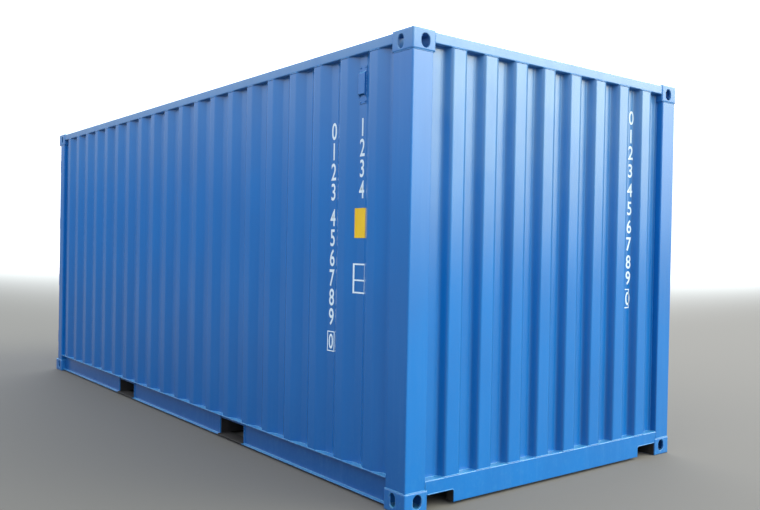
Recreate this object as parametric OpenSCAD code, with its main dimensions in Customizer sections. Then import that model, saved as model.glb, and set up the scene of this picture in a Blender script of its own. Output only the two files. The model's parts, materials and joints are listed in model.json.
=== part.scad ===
// Twenty-foot dry freight container, 8 ft 6 in high, built as its welded steel parts.
// X runs along the length with the blind front end at +X and the doors at -X.
// Y runs across, with the right side at -Y. Z is up, and Z = 0 is the ground under the corner fittings.
// All sizes are in millimetres.

/* [Overall] */
// Length over the corner fittings
length = 6058; // [5000:1:8000]
// Width over the corner fittings
width = 2438; // [2300:1:2600]
// Height over the corner fittings
height = 2591; // [2300:1:2900]

/* [Corner fittings] */
// Size of a fitting along the container
fitting_l = 178; // [170:1:190]
// Size of a fitting across the container
fitting_w = 162; // [155:1:175]
// Height of a fitting
fitting_h = 118; // [110:1:130]
// Thickness of the plate that holds the twistlock slot
fitting_plate = 25; // [20:0.5:30]
// Thickness of the other walls of a fitting
fitting_wall = 12; // [9:0.5:14]
// Rounding of a fitting's edges
fitting_round = 9; // [2:0.5:11]
// Length of the twistlock slot
lock_slot_l = 124; // [110:0.5:130]
// Width of the twistlock slot
lock_slot_w = 63.5; // [55:0.5:66]
// Distance of the slot's centre from the end face
slot_from_end = 102.5; // [96:0.5:104]
// Distance of the slot's centre from the side face
slot_from_side = 89.5; // [80:0.5:95]
// Width of the hole in a fitting's side face
side_hole_w = 51; // [40:0.5:60]
// Width of the hole in a fitting's end face
end_hole_w = 63.5; // [50:0.5:66]
// Height of the side and end holes
hole_h = 79; // [68:0.5:80]

/* [Frame rails] */
// Outside size of the square top rails
top_rail = 60; // [50:1:80]
// Wall of the square top rails
top_rail_t = 3; // [2:0.5:5]
// How far the fittings stand above the top rails
top_gap = 8; // [6:0.5:12]
// How far the top rails and wall crests sit inside the fittings' faces
rail_setback = 5; // [3:0.5:10]
// Height of the bottom side rails
bottom_rail_h = 158; // [140:1:180]
// Width of the bottom side rail's top flange
rail_top_flange = 48; // [44:1:60]
// Width of the bottom side rail's bottom flange
rail_bottom_flange = 30; // [20:1:40]
// Plate of the bottom side rails
bottom_rail_t = 4.5; // [3:0.5:6]
// Height of the bottom side rails above the ground
base_gap = 15; // [13:0.5:20]

/* [Corner posts] */
// Plate of the pressed posts
post_t = 6; // [4:0.5:8]
// How far the posts and sills sit inside the fittings' faces
post_setback = 3; // [1:0.5:4]
// Width of the front post's front face
front_post_w = 147; // [120:1:155]
// Width of the front post's side face
front_post_l = 168; // [140:1:172]
// How far a post's return runs past the wall sheet
post_return = 6; // [3:1:12]
// Distance of the rear frame's outer face from the fittings' end face
rear_recess = 48; // [46:1:54]
// Depth of the rear post along the container
rear_post_l = 116; // [106:1:125]
// Width of the rear post across the container
rear_post_w = 46; // [42:1:55]
// Plate of the rear post's inner channel
rear_channel_t = 10; // [6:1:12]

/* [End rails] */
// Height of the front sill
front_sill_h = 150; // [135:1:165]
// Plate of the sills
sill_t = 4; // [3:0.5:6]
// Width of the front sill's flanges
sill_flange = 60; // [56:1:80]
// Length of the recess in the front sill beside each fitting
sill_notch_l = 198; // [150:1:220]
// Height of that recess above the sill's lower edge
sill_notch_h = 72; // [50:1:90]
// Rounding of that recess's upper corner
sill_notch_round = 14; // [4:1:30]
// Height of the door sill
door_sill_h = 148; // [135:1:160]
// Height of the door header
header_h = 138; // [125:1:160]
// Plate of the door header
header_t = 4; // [3:0.5:6]
// Height of the sills above the ground
sill_gap = 17; // [15:0.5:22]

/* [Side walls] */
// Crest width of a side wall flute
side_crest = 74; // [50:1:100]
// Run of a side wall flute's slope
side_slope = 68; // [40:1:80]
// Valley width of a side wall flute
side_valley = 73; // [66:1:100]
// Depth of the side wall flutes
side_depth = 36; // [20:1:38]
// Sheet of the side walls
side_sheet = 1.6; // [1.2:0.1:3]
// Bend radius of the side wall flutes
side_bend = 9.6; // [4:0.1:20]

/* [Front wall] */
// Crest width of a front wall flute
front_crest = 110; // [80:1:130]
// Run of a front wall flute's slope
front_slope = 18; // [12:1:40]
// Valley width of a front wall flute
front_valley = 104; // [80:1:130]
// Depth of the front wall flutes
front_depth = 45; // [30:1:48]
// Sheet of the front wall
front_sheet = 2; // [1.2:0.1:3]
// Bend radius of the front wall flutes
front_bend = 6; // [3:0.5:12]

/* [Roof] */
// Sheet of the roof
roof_sheet = 2; // [1.5:0.1:3]
// How far the roof laps onto the top rails
roof_lap = 30; // [20:1:40]
// Flat between two pressed roof troughs
roof_flat = 91; // [70:1:120]
// Width of a trough's floor
trough_floor = 91; // [70:1:120]
// Run of a trough's slope
trough_slope = 14; // [10:1:30]
// Depth of the troughs
trough_depth = 20; // [10:1:24]
// Flat border round the troughs
roof_border = 70; // [64:1:120]
// Length of the flat plate at each end of the roof
end_plate_l = 235; // [215:1:260]

/* [Floor] */
// Thickness of the plywood floor
floor_t = 28; // [20:1:30]
// Top of the floor above the ground
floor_z = 170; // [166:0.5:176]
// Flange of the cross members
member_flange = 45; // [35:1:60]
// Plate of the cross members
member_t = 4; // [3:0.5:6]
// Height of the cross members
member_h = 122; // [100:1:122]
// Greatest spacing of the cross members
member_spacing = 330; // [250:1:400]
// Width of the hat rail in the middle of the floor
hat_w = 60; // [50:1:100]
// Gap round each floor board
board_gap = 1; // [0.5:0.5:3]
// Gap between the floor and the door end's frame
floor_end_gap = 6; // [2:0.5:12]

/* [Fork pockets] */
// Distance between the centres of the two pockets
pocket_spacing = 2050; // [1800:1:2200]
// Width of a pocket
pocket_w = 360; // [300:1:400]
// Plate on the roof of a pocket
pocket_top_t = 3; // [2:0.5:5]
// Plate under each end of a pocket
pocket_strap_t = 6; // [4:0.5:8]
// Length of that plate across the container
pocket_strap_l = 110; // [80:1:300]
// How far the plates beside a pocket's mouth stand out from the rail's web
pocket_lip = 12; // [8:1:20]

/* [Doors] */
// Thickness of a door leaf
leaf_t = 50; // [45:1:60]
// Distance from the rear frame's face back to the door's face
leaf_recess = 12; // [8:1:14]
// Gap between a leaf and the frame round it
leaf_gap = 12; // [8:1:16]
// Half of the gap between the two leaves
meeting_gap = 8; // [6:1:12]
// Width of the upright members of a leaf
stile_w = 100; // [80:1:115]
// Height of the level members of a leaf
cross_rail_h = 150; // [120:1:170]
// Plate of the leaf's frame
leaf_plate = 3; // [2:0.5:4]
// Crest width of a door panel flute
door_crest = 72; // [66:1:90]
// Run of a door panel flute's slope
door_slope = 68; // [40:1:80]
// Valley width of a door panel flute
door_valley = 72; // [60:1:90]
// Depth of the door panel flutes
door_depth = 36; // [20:1:40]
// Sheet of the door panels
door_sheet = 2; // [1.5:0.1:3]
// Bend radius of the door panel flutes
door_bend = 8; // [4:0.5:16]
// Running gap of the rubber seal against the frame
seal_gap = 0.3; // [0.2:0.1:1]
// Distance of the seal from both faces of a leaf
seal_inset = 5; // [2:0.5:10]

/* [Hinges] */
// Hinges on each door
hinge_count = 4; // [3:1:5]
// Distance of the first and last hinge from the leaf's ends
hinge_inset = 190; // [150:1:300]
// Radius of a hinge pin
pin_r = 8; // [6:0.5:9]
// Radius of the hinge eyes and lugs
eye_r = 16; // [14:0.5:18]
// Gap between the hinge eyes and the face of the rear frame
eye_gap = 6; // [2:0.5:8]
// Height of a hinge blade
blade_h = 80; // [60:1:110]
// Thickness of a hinge blade
blade_t = 10; // [8:0.5:11]
// Height of a hinge lug
lug_h = 22; // [16:1:30]
// Clearance between a pin and its bores
pin_clearance = 0.05; // [0.02:0.01:0.2]
// Height of a hinge pin's head
pin_head_h = 6; // [3:0.5:8]

/* [Lock gear] */
// Radius of a lock rod
rod_r = 17; // [14:0.5:18]
// Wall of a lock rod's tube
rod_t = 3; // [2:0.5:4]
// Radius of a rod's forged cam
cam_r = 20; // [18.5:0.5:21]
// Gap between a cam and the face of the header or sill
cam_clearance = 1; // [0.5:0.5:2]
// Height of a cam
cam_h = 60; // [40:1:70]
// Reach of a cam's nose from the rod
cam_nose = 52; // [44:1:60]
// Thickness of a cam's nose
nose_t = 18; // [14:1:20]
// Plate of the keepers, brackets and catches
gear_t = 5; // [4:0.5:6]
// Gap of the lock gear's running parts
gear_gap = 0.3; // [0.2:0.1:1]
// Free play between a cam's nose and its keeper
keeper_play = 4; // [2:0.5:6]
// Width of a rod bracket's feet
bracket_foot = 14; // [10:0.5:20]
// Height of a rod bracket
bracket_h = 44; // [30:1:60]
// Height of the lower handle above the ground
handle_z = 1130; // [900:1:1300]
// Step between the two handles of a leaf
handle_step = 170; // [140:1:250]
// Length of a handle from its rod
handle_l = 400; // [340:1:440]
// Height of a handle's bar
handle_bar = 32; // [24:1:40]
// Thickness of a handle's bar
handle_t = 10; // [6:0.5:12]
// Height of the clamp that joins a handle to its rod
handle_hub_h = 51; // [42:1:70]

/* [Ventilators] */
// Width of a ventilator's hood
vent_w = 60; // [50:1:60]
// Height of the plate that the hood is fixed by
vent_h = 218; // [180:1:260]
// Plate of a ventilator
vent_t = 2.5; // [1.5:0.5:4]
// Gap between that plate and the valley's bends, on each side
vent_clearance = 2.5; // [2.5:0.5:6]
// How far the hood stands out from the valley
vent_out = 16; // [10:1:18]
// Distance of a ventilator below the top rail
vent_drop = 61; // [50:1:150]
// Free height of the plate above and below the hood, where its screws go
vent_lip = 29; // [16:1:40]
// Fall of the hood's sloping top
vent_fall = 16; // [8:1:40]
// Height of the slanting mouth under the hood
vent_mouth = 28; // [16:1:60]

/* [Hidden] */

right = -1;
left = 1;
paint = [0.05, 0.30, 0.68];
undercoat = [0.05, 0.05, 0.055];
plywood = [0.55, 0.40, 0.24];
rubber = [0.03, 0.03, 0.03];
zinc = [0.62, 0.64, 0.66];
bend_steps = 4;
round_fn = 32;
hole_fn = 48;
cut = 1;

// Half sizes of the envelope
half_l = length / 2;
half_w = width / 2;

// Faces of the frame
fitting_x = half_l - fitting_l;
fitting_y = half_w - fitting_w;
post_z0 = fitting_h;
post_z1 = height - fitting_h;
rail_z1 = height - top_gap;
rail_z0 = rail_z1 - top_rail;
rail_y1 = half_w - rail_setback;
rail_y0 = rail_y1 - top_rail;
front_rail_x1 = half_l - rail_setback;
base_rail_y1 = half_w - post_setback;
base_rail_y0 = base_rail_y1 - rail_top_flange;
base_rail_z1 = base_gap + bottom_rail_h;
front_post_back = post_setback + front_post_l;
rear_post_back = rear_recess + rear_post_l;
front_wall_y = half_w - post_setback - front_post_w;
wall_x1 = half_l - front_post_back;
wall_x0 = rear_post_back - half_l;
front_sill_z1 = sill_gap + front_sill_h;

// Faces of the wall sheets
side_inner = rail_y1 - side_depth - side_sheet;
front_inner = front_rail_x1 - front_depth - front_sheet;

// Pitch and count of the wall flutes, with a flat left at both ends of a wall
side_pitch = side_crest + 2 * side_slope + side_valley;
end_flat = 40;
side_flutes = floor((2 * min(wall_x1, -wall_x0) + side_valley - 2 * end_flat) / side_pitch);
front_pitch = front_crest + 2 * front_slope + front_valley;
front_flutes = floor((2 * front_wall_y + front_valley - 2 * end_flat) / front_pitch);

// Door opening and leaves, measured in the rear frame
rear_face = -half_l + rear_recess;
opening_y = half_w - post_setback - rear_post_w;
opening_z0 = sill_gap + door_sill_h;
opening_z1 = rail_z1 - header_h;
leaf_face = rear_face + leaf_recess;
leaf_back = leaf_face + leaf_t;
leaf_y1 = opening_y - leaf_gap;
leaf_z0 = opening_z0 + leaf_gap;
leaf_z1 = opening_z1 - leaf_gap;
panel_y0 = meeting_gap + stile_w;
panel_y1 = leaf_y1 - stile_w;
panel_z0 = leaf_z0 + cross_rail_h;
panel_z1 = leaf_z1 - cross_rail_h;
panel_mid = (panel_y0 + panel_y1) / 2;
door_pitch = door_crest + 2 * door_slope + door_valley;
door_flutes = 3;

// Lock rods stand in front of the first and last crest of a door panel
rod_x = rear_face - cam_r - cam_clearance;
rod_inner_y = panel_mid - door_pitch;
rod_outer_y = panel_mid + door_pitch;
cam_inset = 10;
low_bracket = 0.2;
high_bracket = 0.72;
header_cam_z = opening_z1 + cam_inset;
gear_bend = gear_t / 2 + 1;
sill_cam_z = opening_z0 - cam_inset - cam_h;

// Hinge axis
pin_x = rear_face - eye_r - eye_gap;
pin_y = half_w - post_setback - rear_post_w / 2;

// Floor and cross members
member_z1 = floor_z - floor_t;
member_z0 = member_z1 - member_h;
floor_x0 = wall_x0 + floor_end_gap;
floor_x1 = half_l - post_setback - sill_flange - board_gap;
board_y = base_rail_y0 - board_gap;
pocket_z1 = member_z1 - pocket_top_t;
pocket_z0 = base_gap + pocket_strap_t;

// Centre of a ventilator: the valley behind the last full crest
vent_x = (side_flutes / 2 - 1) * side_pitch;

// A vector of length one, the same turned left, and a vector turned by an angle
function unit(v) = v / norm(v);
function turned_left(v) = [-v[1], v[0]];
function turned(v, a) = [v[0] * cos(a) - v[1] * sin(a), v[0] * sin(a) + v[1] * cos(a)];

// The stations round one bend: each is a point of the middle line and its left normal
function bend(a, b, c, r) =
  let (u = unit(b - a), v = unit(c - b), angle = atan2(u[0] * v[1] - u[1] * v[0], u * v),
       hand = sign(angle), start = b - u * r * tan(abs(angle) / 2), n = turned_left(u),
       middle = start + n * hand * r)
  [for (k = [0:bend_steps]) let (m = turned(n, angle * k / bend_steps)) [middle - m * hand * r, m]];

// The outline of a sheet of thickness t that follows a path with bends of radius r
function sheet_outline(path, t, r) =
  let (last = len(path) - 1,
       stations = concat(
         [[path[0], turned_left(unit(path[1] - path[0]))]],
         [for (k = [1:last - 1]) each bend(path[k - 1], path[k], path[k + 1], r)],
         [[path[last], turned_left(unit(path[last] - path[last - 1]))]]),
       count = len(stations))
  concat(
    [for (s = stations) s[0] + s[1] * t / 2],
    [for (k = [count - 1:-1:0]) stations[k][0] - stations[k][1] * t / 2]);

// A path that runs along the valley line and rises to each crest, with its crests about x = 0
function flute_path(x0, x1, count, crest, slope, valley, depth) =
  let (pitch = crest + 2 * slope + valley)
  concat(
    [[x0, -depth]],
    [for (k = [0:count - 1]) let (c = (k - (count - 1) / 2) * pitch)
      each [[c - crest / 2 - slope, -depth], [c - crest / 2, 0],
            [c + crest / 2, 0], [c + crest / 2 + slope, -depth]]],
    [[x1, -depth]]);

// Where members stand between two others at up to the greatest spacing
function spread(a, b) =
  let (count = ceil((b - a) / member_spacing))
  [for (k = [1:count - 1]) a + (b - a) * k / count];

// A flat outline of a folded sheet
module folded(path, t, r) {
  polygon(sheet_outline(path, t, r));
}

// A rectangle from one corner to the opposite one, with rounded corners
module rounded(a, b, r) {
  size = b - a;
  translate([a[0] + r, a[1]]) square([size[0] - 2 * r, size[1]]);
  translate([a[0], a[1] + r]) square([size[0], size[1] - 2 * r]);
  for (x = [a[0] + r, b[0] - r], y = [a[1] + r, b[1] - r]) translate([x, y]) circle(r, $fn = round_fn);
}

// A block given by its lowest and highest corner
module block(a, b) {
  translate(a) cube(b - a);
}

// A slot with round ends, centred, with its length along the first direction
module slot(l, w) {
  square([l - w, w], center = true);
  for (s = [-1, 1]) translate([s * (l - w) / 2, 0]) circle(d = w, $fn = hole_fn);
}

// Extrusions of an outline drawn in a plane across X, across Y or across Z
module along_x(x0, x1) {
  translate([x0, 0, 0]) rotate([90, 0, 90]) linear_extrude(x1 - x0) children();
}
module along_y(y0, y1) {
  translate([0, y1, 0]) rotate([90, 0, 0]) linear_extrude(y1 - y0) children();
}
module along_z(z0, z1) {
  translate([0, 0, z0]) linear_extrude(z1 - z0) children();
}

// Puts a part drawn on the left side on the side asked for
module on_side(side) {
  if (side == right) mirror([0, 1, 0]) children();
  else children();
}

// A square tube of the top frame, drawn across its length from one corner
module top_tube(a) {
  b = a + [top_rail, top_rail];
  wall = [top_rail_t, top_rail_t];
  difference() {
    rounded(a, b, 2 * top_rail_t);
    rounded(a + wall, b - wall, top_rail_t);
  }
}

// A fitting with its outer corner at the origin, below and inside it: X back, Y in, Z up
module fitting_casting() {
  hole_z = fitting_plate + hole_h / 2;
  difference() {
    intersection() {
      along_z(0, fitting_h) rounded([-fitting_l, -fitting_w], [0, 0], fitting_round);
      along_x(-fitting_l, 0) rounded([-fitting_w, 0], [0, fitting_h], fitting_round);
      along_y(-fitting_w, 0) rounded([-fitting_l, 0], [0, fitting_h], fitting_round);
    }
    block([fitting_wall - fitting_l, fitting_wall - fitting_w, fitting_plate],
          [-fitting_wall, -fitting_wall, fitting_h - fitting_wall]);
    translate([-slot_from_end, -slot_from_side])
      along_z(-cut, fitting_plate + cut) slot(lock_slot_l, lock_slot_w);
    translate([-slot_from_end, 0, hole_z])
      along_y(-fitting_wall - cut, cut) rotate(90) slot(hole_h, side_hole_w);
    translate([0, -slot_from_side, hole_z])
      along_x(-fitting_wall - cut, cut) rotate(90) slot(hole_h, end_hole_w);
  }
}

// The fitting at one corner of the container
module corner_fitting(end, side, top) {
  color(paint)
    translate([end * half_l, side * half_w, top ? height : 0])
      mirror([end < 0 ? 1 : 0, 0, 0]) mirror([0, side < 0 ? 1 : 0, 0]) mirror([0, 0, top ? 1 : 0])
        fitting_casting();
}

// Cuts away what the corner fittings at one end of one side take up, from a part on the left
module without_fittings(end) {
  x0 = end > 0 ? fitting_x : -half_l - cut;
  x1 = end > 0 ? half_l + cut : -fitting_x;
  difference() {
    children();
    block([x0, fitting_y, -cut], [x1, half_w + cut, fitting_h]);
    block([x0, fitting_y, height - fitting_h], [x1, half_w + cut, height + cut]);
  }
}

// A pressed front corner post with a return to each wall
module front_post(side) {
  near = post_setback + post_t / 2;
  far_x = front_post_back - post_t / 2;
  far_y = half_w - front_wall_y - post_t / 2;
  side_end = half_w - side_inner + post_return;
  front_end = half_l - front_inner + post_return;
  path = [[far_x, side_end], [far_x, near], [near, near], [near, far_y], [front_end, far_y]];
  color(paint) on_side(side)
    along_z(post_z0, post_z1)
      polygon([for (p = sheet_outline(path, post_t, post_t)) [half_l - p[0], half_w - p[1]]]);
}

// The height of each hinge's middle
function hinge_z(k) =
  let (low = leaf_z0 + hinge_inset, high = leaf_z1 - hinge_inset)
  low + (high - low) * k / (hinge_count - 1);

// The two lugs of one hinge on the rear post
module hinge_lugs(z) {
  for (s = [-1, 1]) {
    z0 = z + s * (blade_h / 2 + gear_gap + lug_h / 2) - lug_h / 2;
    along_z(z0, z0 + lug_h) difference() {
      union() {
        translate([pin_x, pin_y]) circle(eye_r, $fn = hole_fn);
        translate([pin_x, pin_y - eye_r]) square([rear_face - pin_x, 2 * eye_r]);
      }
      translate([pin_x, pin_y]) circle(pin_r + pin_clearance, $fn = hole_fn);
    }
  }
}

// A rear corner post: a pressed outer part, a rolled channel inside it and the hinge lugs
module rear_post(side) {
  outer_y = half_w - post_setback;
  near = rear_face + post_t / 2;
  far = rear_face + rear_post_l - post_t / 2;
  return_end = side_inner - post_return;
  path = [[near, opening_y], [near, outer_y - post_t / 2], [far, outer_y - post_t / 2], [far, return_end]];
  channel_x0 = rear_face + post_t;
  channel_x1 = far - post_t / 2;
  channel_y1 = outer_y - post_t;
  color(paint) on_side(side) union() {
    along_z(post_z0, post_z1) {
      folded(path, post_t, post_t);
      difference() {
        translate([channel_x0, opening_y]) square([channel_x1 - channel_x0, channel_y1 - opening_y]);
        translate([channel_x0 + rear_channel_t, opening_y + rear_channel_t])
          square([channel_x1 - channel_x0 - 2 * rear_channel_t, channel_y1 - opening_y]);
      }
    }
    for (k = [0:hinge_count - 1]) hinge_lugs(hinge_z(k));
  }
}

// The square tube across the top of the front end
module front_top_rail() {
  color(paint) along_y(-fitting_y, fitting_y) top_tube([front_rail_x1 - top_rail, rail_z0]);
}

// The square tube along the top of one side
module top_rail_side(side) {
  color(paint) on_side(side)
    along_x(-fitting_x, fitting_x) top_tube([rail_y0, rail_z0]);
}

// The outline of the recess beside a front fitting, drawn past the fitting and the sill's lower edge
module notch_outline(grow) {
  past = 2 * sill_notch_round + sill_t;
  rounded([fitting_y - sill_notch_l - grow, sill_gap - past],
          [fitting_y + past, sill_gap + sill_notch_h + grow], sill_notch_round + grow);
}

// The bent plate that lines the recess
module notch_liner(x0, x1) {
  along_x(x0, x1) intersection() {
    difference() {
      notch_outline(sill_t);
      notch_outline(0);
    }
    translate([fitting_y - sill_notch_l - sill_t, sill_gap])
      square([sill_notch_l + sill_t, sill_notch_h + sill_t]);
  }
}

// The pressed sill across the bottom of the front end, with a lined recess beside each fitting
module front_sill() {
  x1 = half_l - post_setback;
  x0 = x1 - sill_flange;
  half_t = sill_t / 2;
  z0 = sill_gap + half_t;
  z1 = front_sill_z1 - half_t;
  path = [[x0, z0], [x1 - half_t, z0], [x1 - half_t, z1], [x0, z1]];
  color(paint) union() {
    for (side = [right, left]) on_side(side) {
      difference() {
        without_fittings(1) along_y(0, front_wall_y) folded(path, sill_t, sill_t);
        along_x(x0 - cut, half_l) notch_outline(0);
      }
      notch_liner(x0, x1);
    }
  }
}

// The box across the top of the door opening
module door_header() {
  a = [rear_face, opening_z1];
  b = [rear_face + rear_post_l, rail_z1];
  wall = [header_t, header_t];
  color(paint) union() {
    for (side = [right, left]) on_side(side)
      without_fittings(-1) along_y(0, opening_y) difference() {
        rounded(a, b, 2 * header_t);
        rounded(a + wall, b - wall, header_t);
      }
  }
}

// The folded sill across the bottom of the door opening
module door_sill() {
  half_t = sill_t / 2;
  x0 = rear_face + half_t;
  x1 = rear_face + rear_post_l;
  z0 = sill_gap + half_t;
  z1 = opening_z0 - half_t;
  path = [[x1, z1], [x0, z1], [x0, z0], [x0 + sill_flange, z0]];
  color(paint) union() {
    for (side = [right, left]) on_side(side)
      without_fittings(-1) along_y(0, opening_y) folded(path, sill_t, sill_t);
  }
}

// The bottom side rail, a channel with its flanges outwards, cut open at the fork pockets
module bottom_rail(side) {
  half_t = bottom_rail_t / 2;
  y0 = base_rail_y0 + half_t;
  z0 = base_gap + half_t;
  z1 = base_rail_z1 - half_t;
  path = [[base_rail_y1, z1], [y0, z1], [y0, z0], [base_rail_y0 + rail_bottom_flange, z0]];
  color(paint) on_side(side) union() {
    difference() {
      without_fittings(1) without_fittings(-1)
        along_x(wall_x0, wall_x1) folded(path, bottom_rail_t, bottom_rail_t);
      for (s = [-1, 1]) translate([s * pocket_spacing / 2, 0, 0])
        block([-pocket_w / 2, base_rail_y0 - cut, 0], [pocket_w / 2, half_w, pocket_z1]);
    }
    for (s = [-1, 1], e = [-1, 1])
      translate([s * pocket_spacing / 2 + e * (pocket_w + bottom_rail_t) / 2, 0, 0])
        block([-half_t, y0, z0], [half_t, base_rail_y0 + pocket_lip, z1]);
  }
}

// A side wall of fluted sheet, notched round the top fittings
module side_wall(side) {
  path = flute_path(wall_x0, wall_x1, side_flutes, side_crest, side_slope, side_valley, side_depth);
  y = rail_y1 - side_sheet / 2;
  color(paint) on_side(side)
    without_fittings(1) without_fittings(-1)
      along_z(base_rail_z1, rail_z0) translate([0, y]) folded(path, side_sheet, side_bend);
}

// The front wall of deeply fluted sheet
module front_wall() {
  path = flute_path(-front_wall_y, front_wall_y, front_flutes,
                    front_crest, front_slope, front_valley, front_depth);
  x = front_rail_x1 - front_sheet / 2;
  color(paint) difference() {
    along_z(front_sill_z1, rail_z0) translate([x, 0]) rotate(-90) folded(path, front_sheet, front_bend);
    for (s = [-1, 1]) translate([0, s * (fitting_y + fitting_w / 2), height - fitting_h / 2])
      cube([2 * half_l + cut, fitting_w, fitting_h], center = true);
  }
}

// Stations of the roof along X: each is a place and whether it lies on a trough's floor
roof_x = half_l - end_plate_l;
roof_y = rail_y1 - roof_lap;
roof_pitch = roof_flat + trough_floor + 2 * trough_slope;
trough_count = floor((2 * roof_x - 2 * roof_border + roof_flat) / roof_pitch);
function roof_stations() =
  concat(
    [[-roof_x, 0]],
    [for (k = [0:trough_count - 1]) let (c = (k - (trough_count - 1) / 2) * roof_pitch, f = trough_floor / 2)
      each [[c - f - trough_slope, 0], [c - f, 1], [c + f, 1], [c + f + trough_slope, 0]]],
    [[roof_x, 0]]);

// The roof sheet with its pressed troughs, as one sheet of even thickness
module roof_panel() {
  xs = roof_stations();
  edge = roof_y - roof_border;
  ys = [[-roof_y, 0], [-edge, 0], [trough_slope - edge, 1],
        [edge - trough_slope, 1], [edge, 0], [roof_y, 0]];
  nx = len(xs);
  ny = len(ys);
  upper = [for (x = xs, y = ys) [x[0], y[0], rail_z1 + roof_sheet - trough_depth * x[1] * y[1]]];
  lower = [for (p = upper) p - [0, 0, roof_sheet]];
  under = nx * ny;
  // A cell is split along the diagonal that folds like the pressed corner
  function split(i, j) = xs[i][1] * ys[j][1] + xs[i + 1][1] * ys[j + 1][1] > 0;
  function cell(i, j) =
    let (a = i * ny + j, b = a + ny, c = b + 1, d = a + 1)
    split(i, j) ? [[a, c, b], [a, d, c]] : [[a, d, b], [b, d, c]];
  cells = [for (i = [0:nx - 2], j = [0:ny - 2]) each cell(i, j)];
  rim = concat(
    [for (i = [0:nx - 1]) i * ny],
    [for (j = [1:ny - 1]) (nx - 1) * ny + j],
    [for (i = [nx - 2:-1:0]) i * ny + ny - 1],
    [for (j = [ny - 2:-1:1]) j]);
  sides = [for (k = [0:len(rim) - 1]) let (p = rim[k], q = rim[(k + 1) % len(rim)])
    each [[p, q, p + under], [q, q + under, p + under]]];
  color(paint)
    polyhedron(concat(upper, lower), concat(
      cells,
      [for (f = cells) [f[2] + under, f[1] + under, f[0] + under]],
      sides));
}

// The flat plates at the two ends of the roof, narrowed between the top fittings
module roof_end_plates() {
  front_edge = front_rail_x1 - roof_lap;
  rear_edge = rear_face + roof_lap;
  color(paint) along_z(rail_z1, rail_z1 + roof_sheet) {
    polygon([[roof_x, -roof_y], [fitting_x, -roof_y], [fitting_x, -fitting_y], [front_edge, -fitting_y],
             [front_edge, fitting_y], [fitting_x, fitting_y], [fitting_x, roof_y], [roof_x, roof_y]]);
    polygon([[-roof_x, -roof_y], [-roof_x, roof_y], [-fitting_x, roof_y], [-fitting_x, fitting_y],
             [rear_edge, fitting_y], [rear_edge, -fitting_y],
             [-fitting_x, -fitting_y], [-fitting_x, -roof_y]]);
  }
}

// One cross member with its web at x and its flanges towards dir
module cross_member(x, dir) {
  half_t = member_t / 2;
  path = [[dir * member_flange, member_z0 + half_t], [dir * half_t, member_z0 + half_t],
          [dir * half_t, member_z1 - half_t], [dir * member_flange, member_z1 - half_t]];
  translate([x, 0, 0]) along_y(-base_rail_y0, base_rail_y0) folded(path, member_t, member_t);
}

// All cross members: one on each side of each pocket, and the rest spread between
module cross_members() {
  inner = (pocket_spacing - pocket_w) / 2;
  outer = (pocket_spacing + pocket_w) / 2;
  last = fitting_x - member_flange - board_gap;
  color(undercoat) {
    for (s = [-1, 1]) {
      cross_member(s * inner, -s);
      cross_member(s * outer, s);
      cross_member(s * last, s);
      for (x = spread(outer, last)) cross_member(s * x, s);
    }
    for (x = spread(-inner, inner)) cross_member(x, 1);
  }
}

// The roof plate of each fork pocket and the straps under its two mouths
module fork_pockets() {
  strap_y1 = base_rail_y0 + rail_bottom_flange;
  color(undercoat) for (s = [-1, 1]) translate([s * pocket_spacing / 2, 0, 0]) {
    block([-pocket_w / 2, -base_rail_y0, pocket_z1], [pocket_w / 2, base_rail_y0, member_z1]);
    for (side = [right, left]) on_side(side)
      block([-pocket_w / 2, strap_y1 - pocket_strap_l, base_gap], [pocket_w / 2, strap_y1, pocket_z0]);
  }
}

// Six plywood boards, three on each side of the hat rail
module floor_boards() {
  board_l = (floor_x1 - floor_x0) / 3;
  y0 = hat_w / 2 + board_gap;
  color(plywood) for (side = [right, left], k = [0:2]) on_side(side)
    block([floor_x0 + k * board_l + board_gap / 2, y0, member_z1],
          [floor_x0 + (k + 1) * board_l - board_gap / 2, board_y, floor_z]);
}

// The hat rail along the middle of the floor
module floor_hat_rail() {
  half_t = member_t / 2;
  y = hat_w / 2 - half_t;
  path = [[-y, member_z1], [-y, floor_z - half_t], [y, floor_z - half_t], [y, member_z1]];
  color(undercoat) along_x(floor_x0, floor_x1) folded(path, member_t, member_t);
}

// The welded frame of one leaf: tubes for the uprights and channels across
module door_frame(side) {
  t = leaf_plate;
  color(paint) on_side(side) union() {
    for (y = [meeting_gap, leaf_y1 - stile_w])
      along_z(leaf_z0, leaf_z1) difference() {
        rounded([leaf_face, y], [leaf_back, y + stile_w], 2 * t);
        rounded([leaf_face + t, y + t], [leaf_back - t, y + stile_w - t], t);
      }
    for (z = [leaf_z0, panel_z1])
      along_y(panel_y0 - t / 2, panel_y1 + t / 2)
        folded([[leaf_back, z + t / 2], [leaf_face + t / 2, z + t / 2],
                [leaf_face + t / 2, z + cross_rail_h - t / 2], [leaf_back, z + cross_rail_h - t / 2]], t, t);
  }
}

// The fluted sheet of one leaf
module door_panel(side) {
  span = (panel_y1 - panel_y0) / 2;
  path = flute_path(-span, span, door_flutes, door_crest, door_slope, door_valley, door_depth);
  color(paint) on_side(side)
    along_z(panel_z0, panel_z1) translate([leaf_face + door_sheet / 2, panel_mid]) rotate(90)
      folded(path, door_sheet, door_bend);
}

// The rubber seal round one leaf, just clear of the frame and of the other leaf's seal
module door_seal(side) {
  color(rubber) on_side(side) along_x(leaf_face + seal_inset, leaf_back - seal_inset) difference() {
    translate([seal_gap, opening_z0 + seal_gap])
      square([opening_y - 2 * seal_gap, opening_z1 - opening_z0 - 2 * seal_gap]);
    translate([meeting_gap, leaf_z0]) square([leaf_y1 - meeting_gap, leaf_z1 - leaf_z0]);
  }
}

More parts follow.
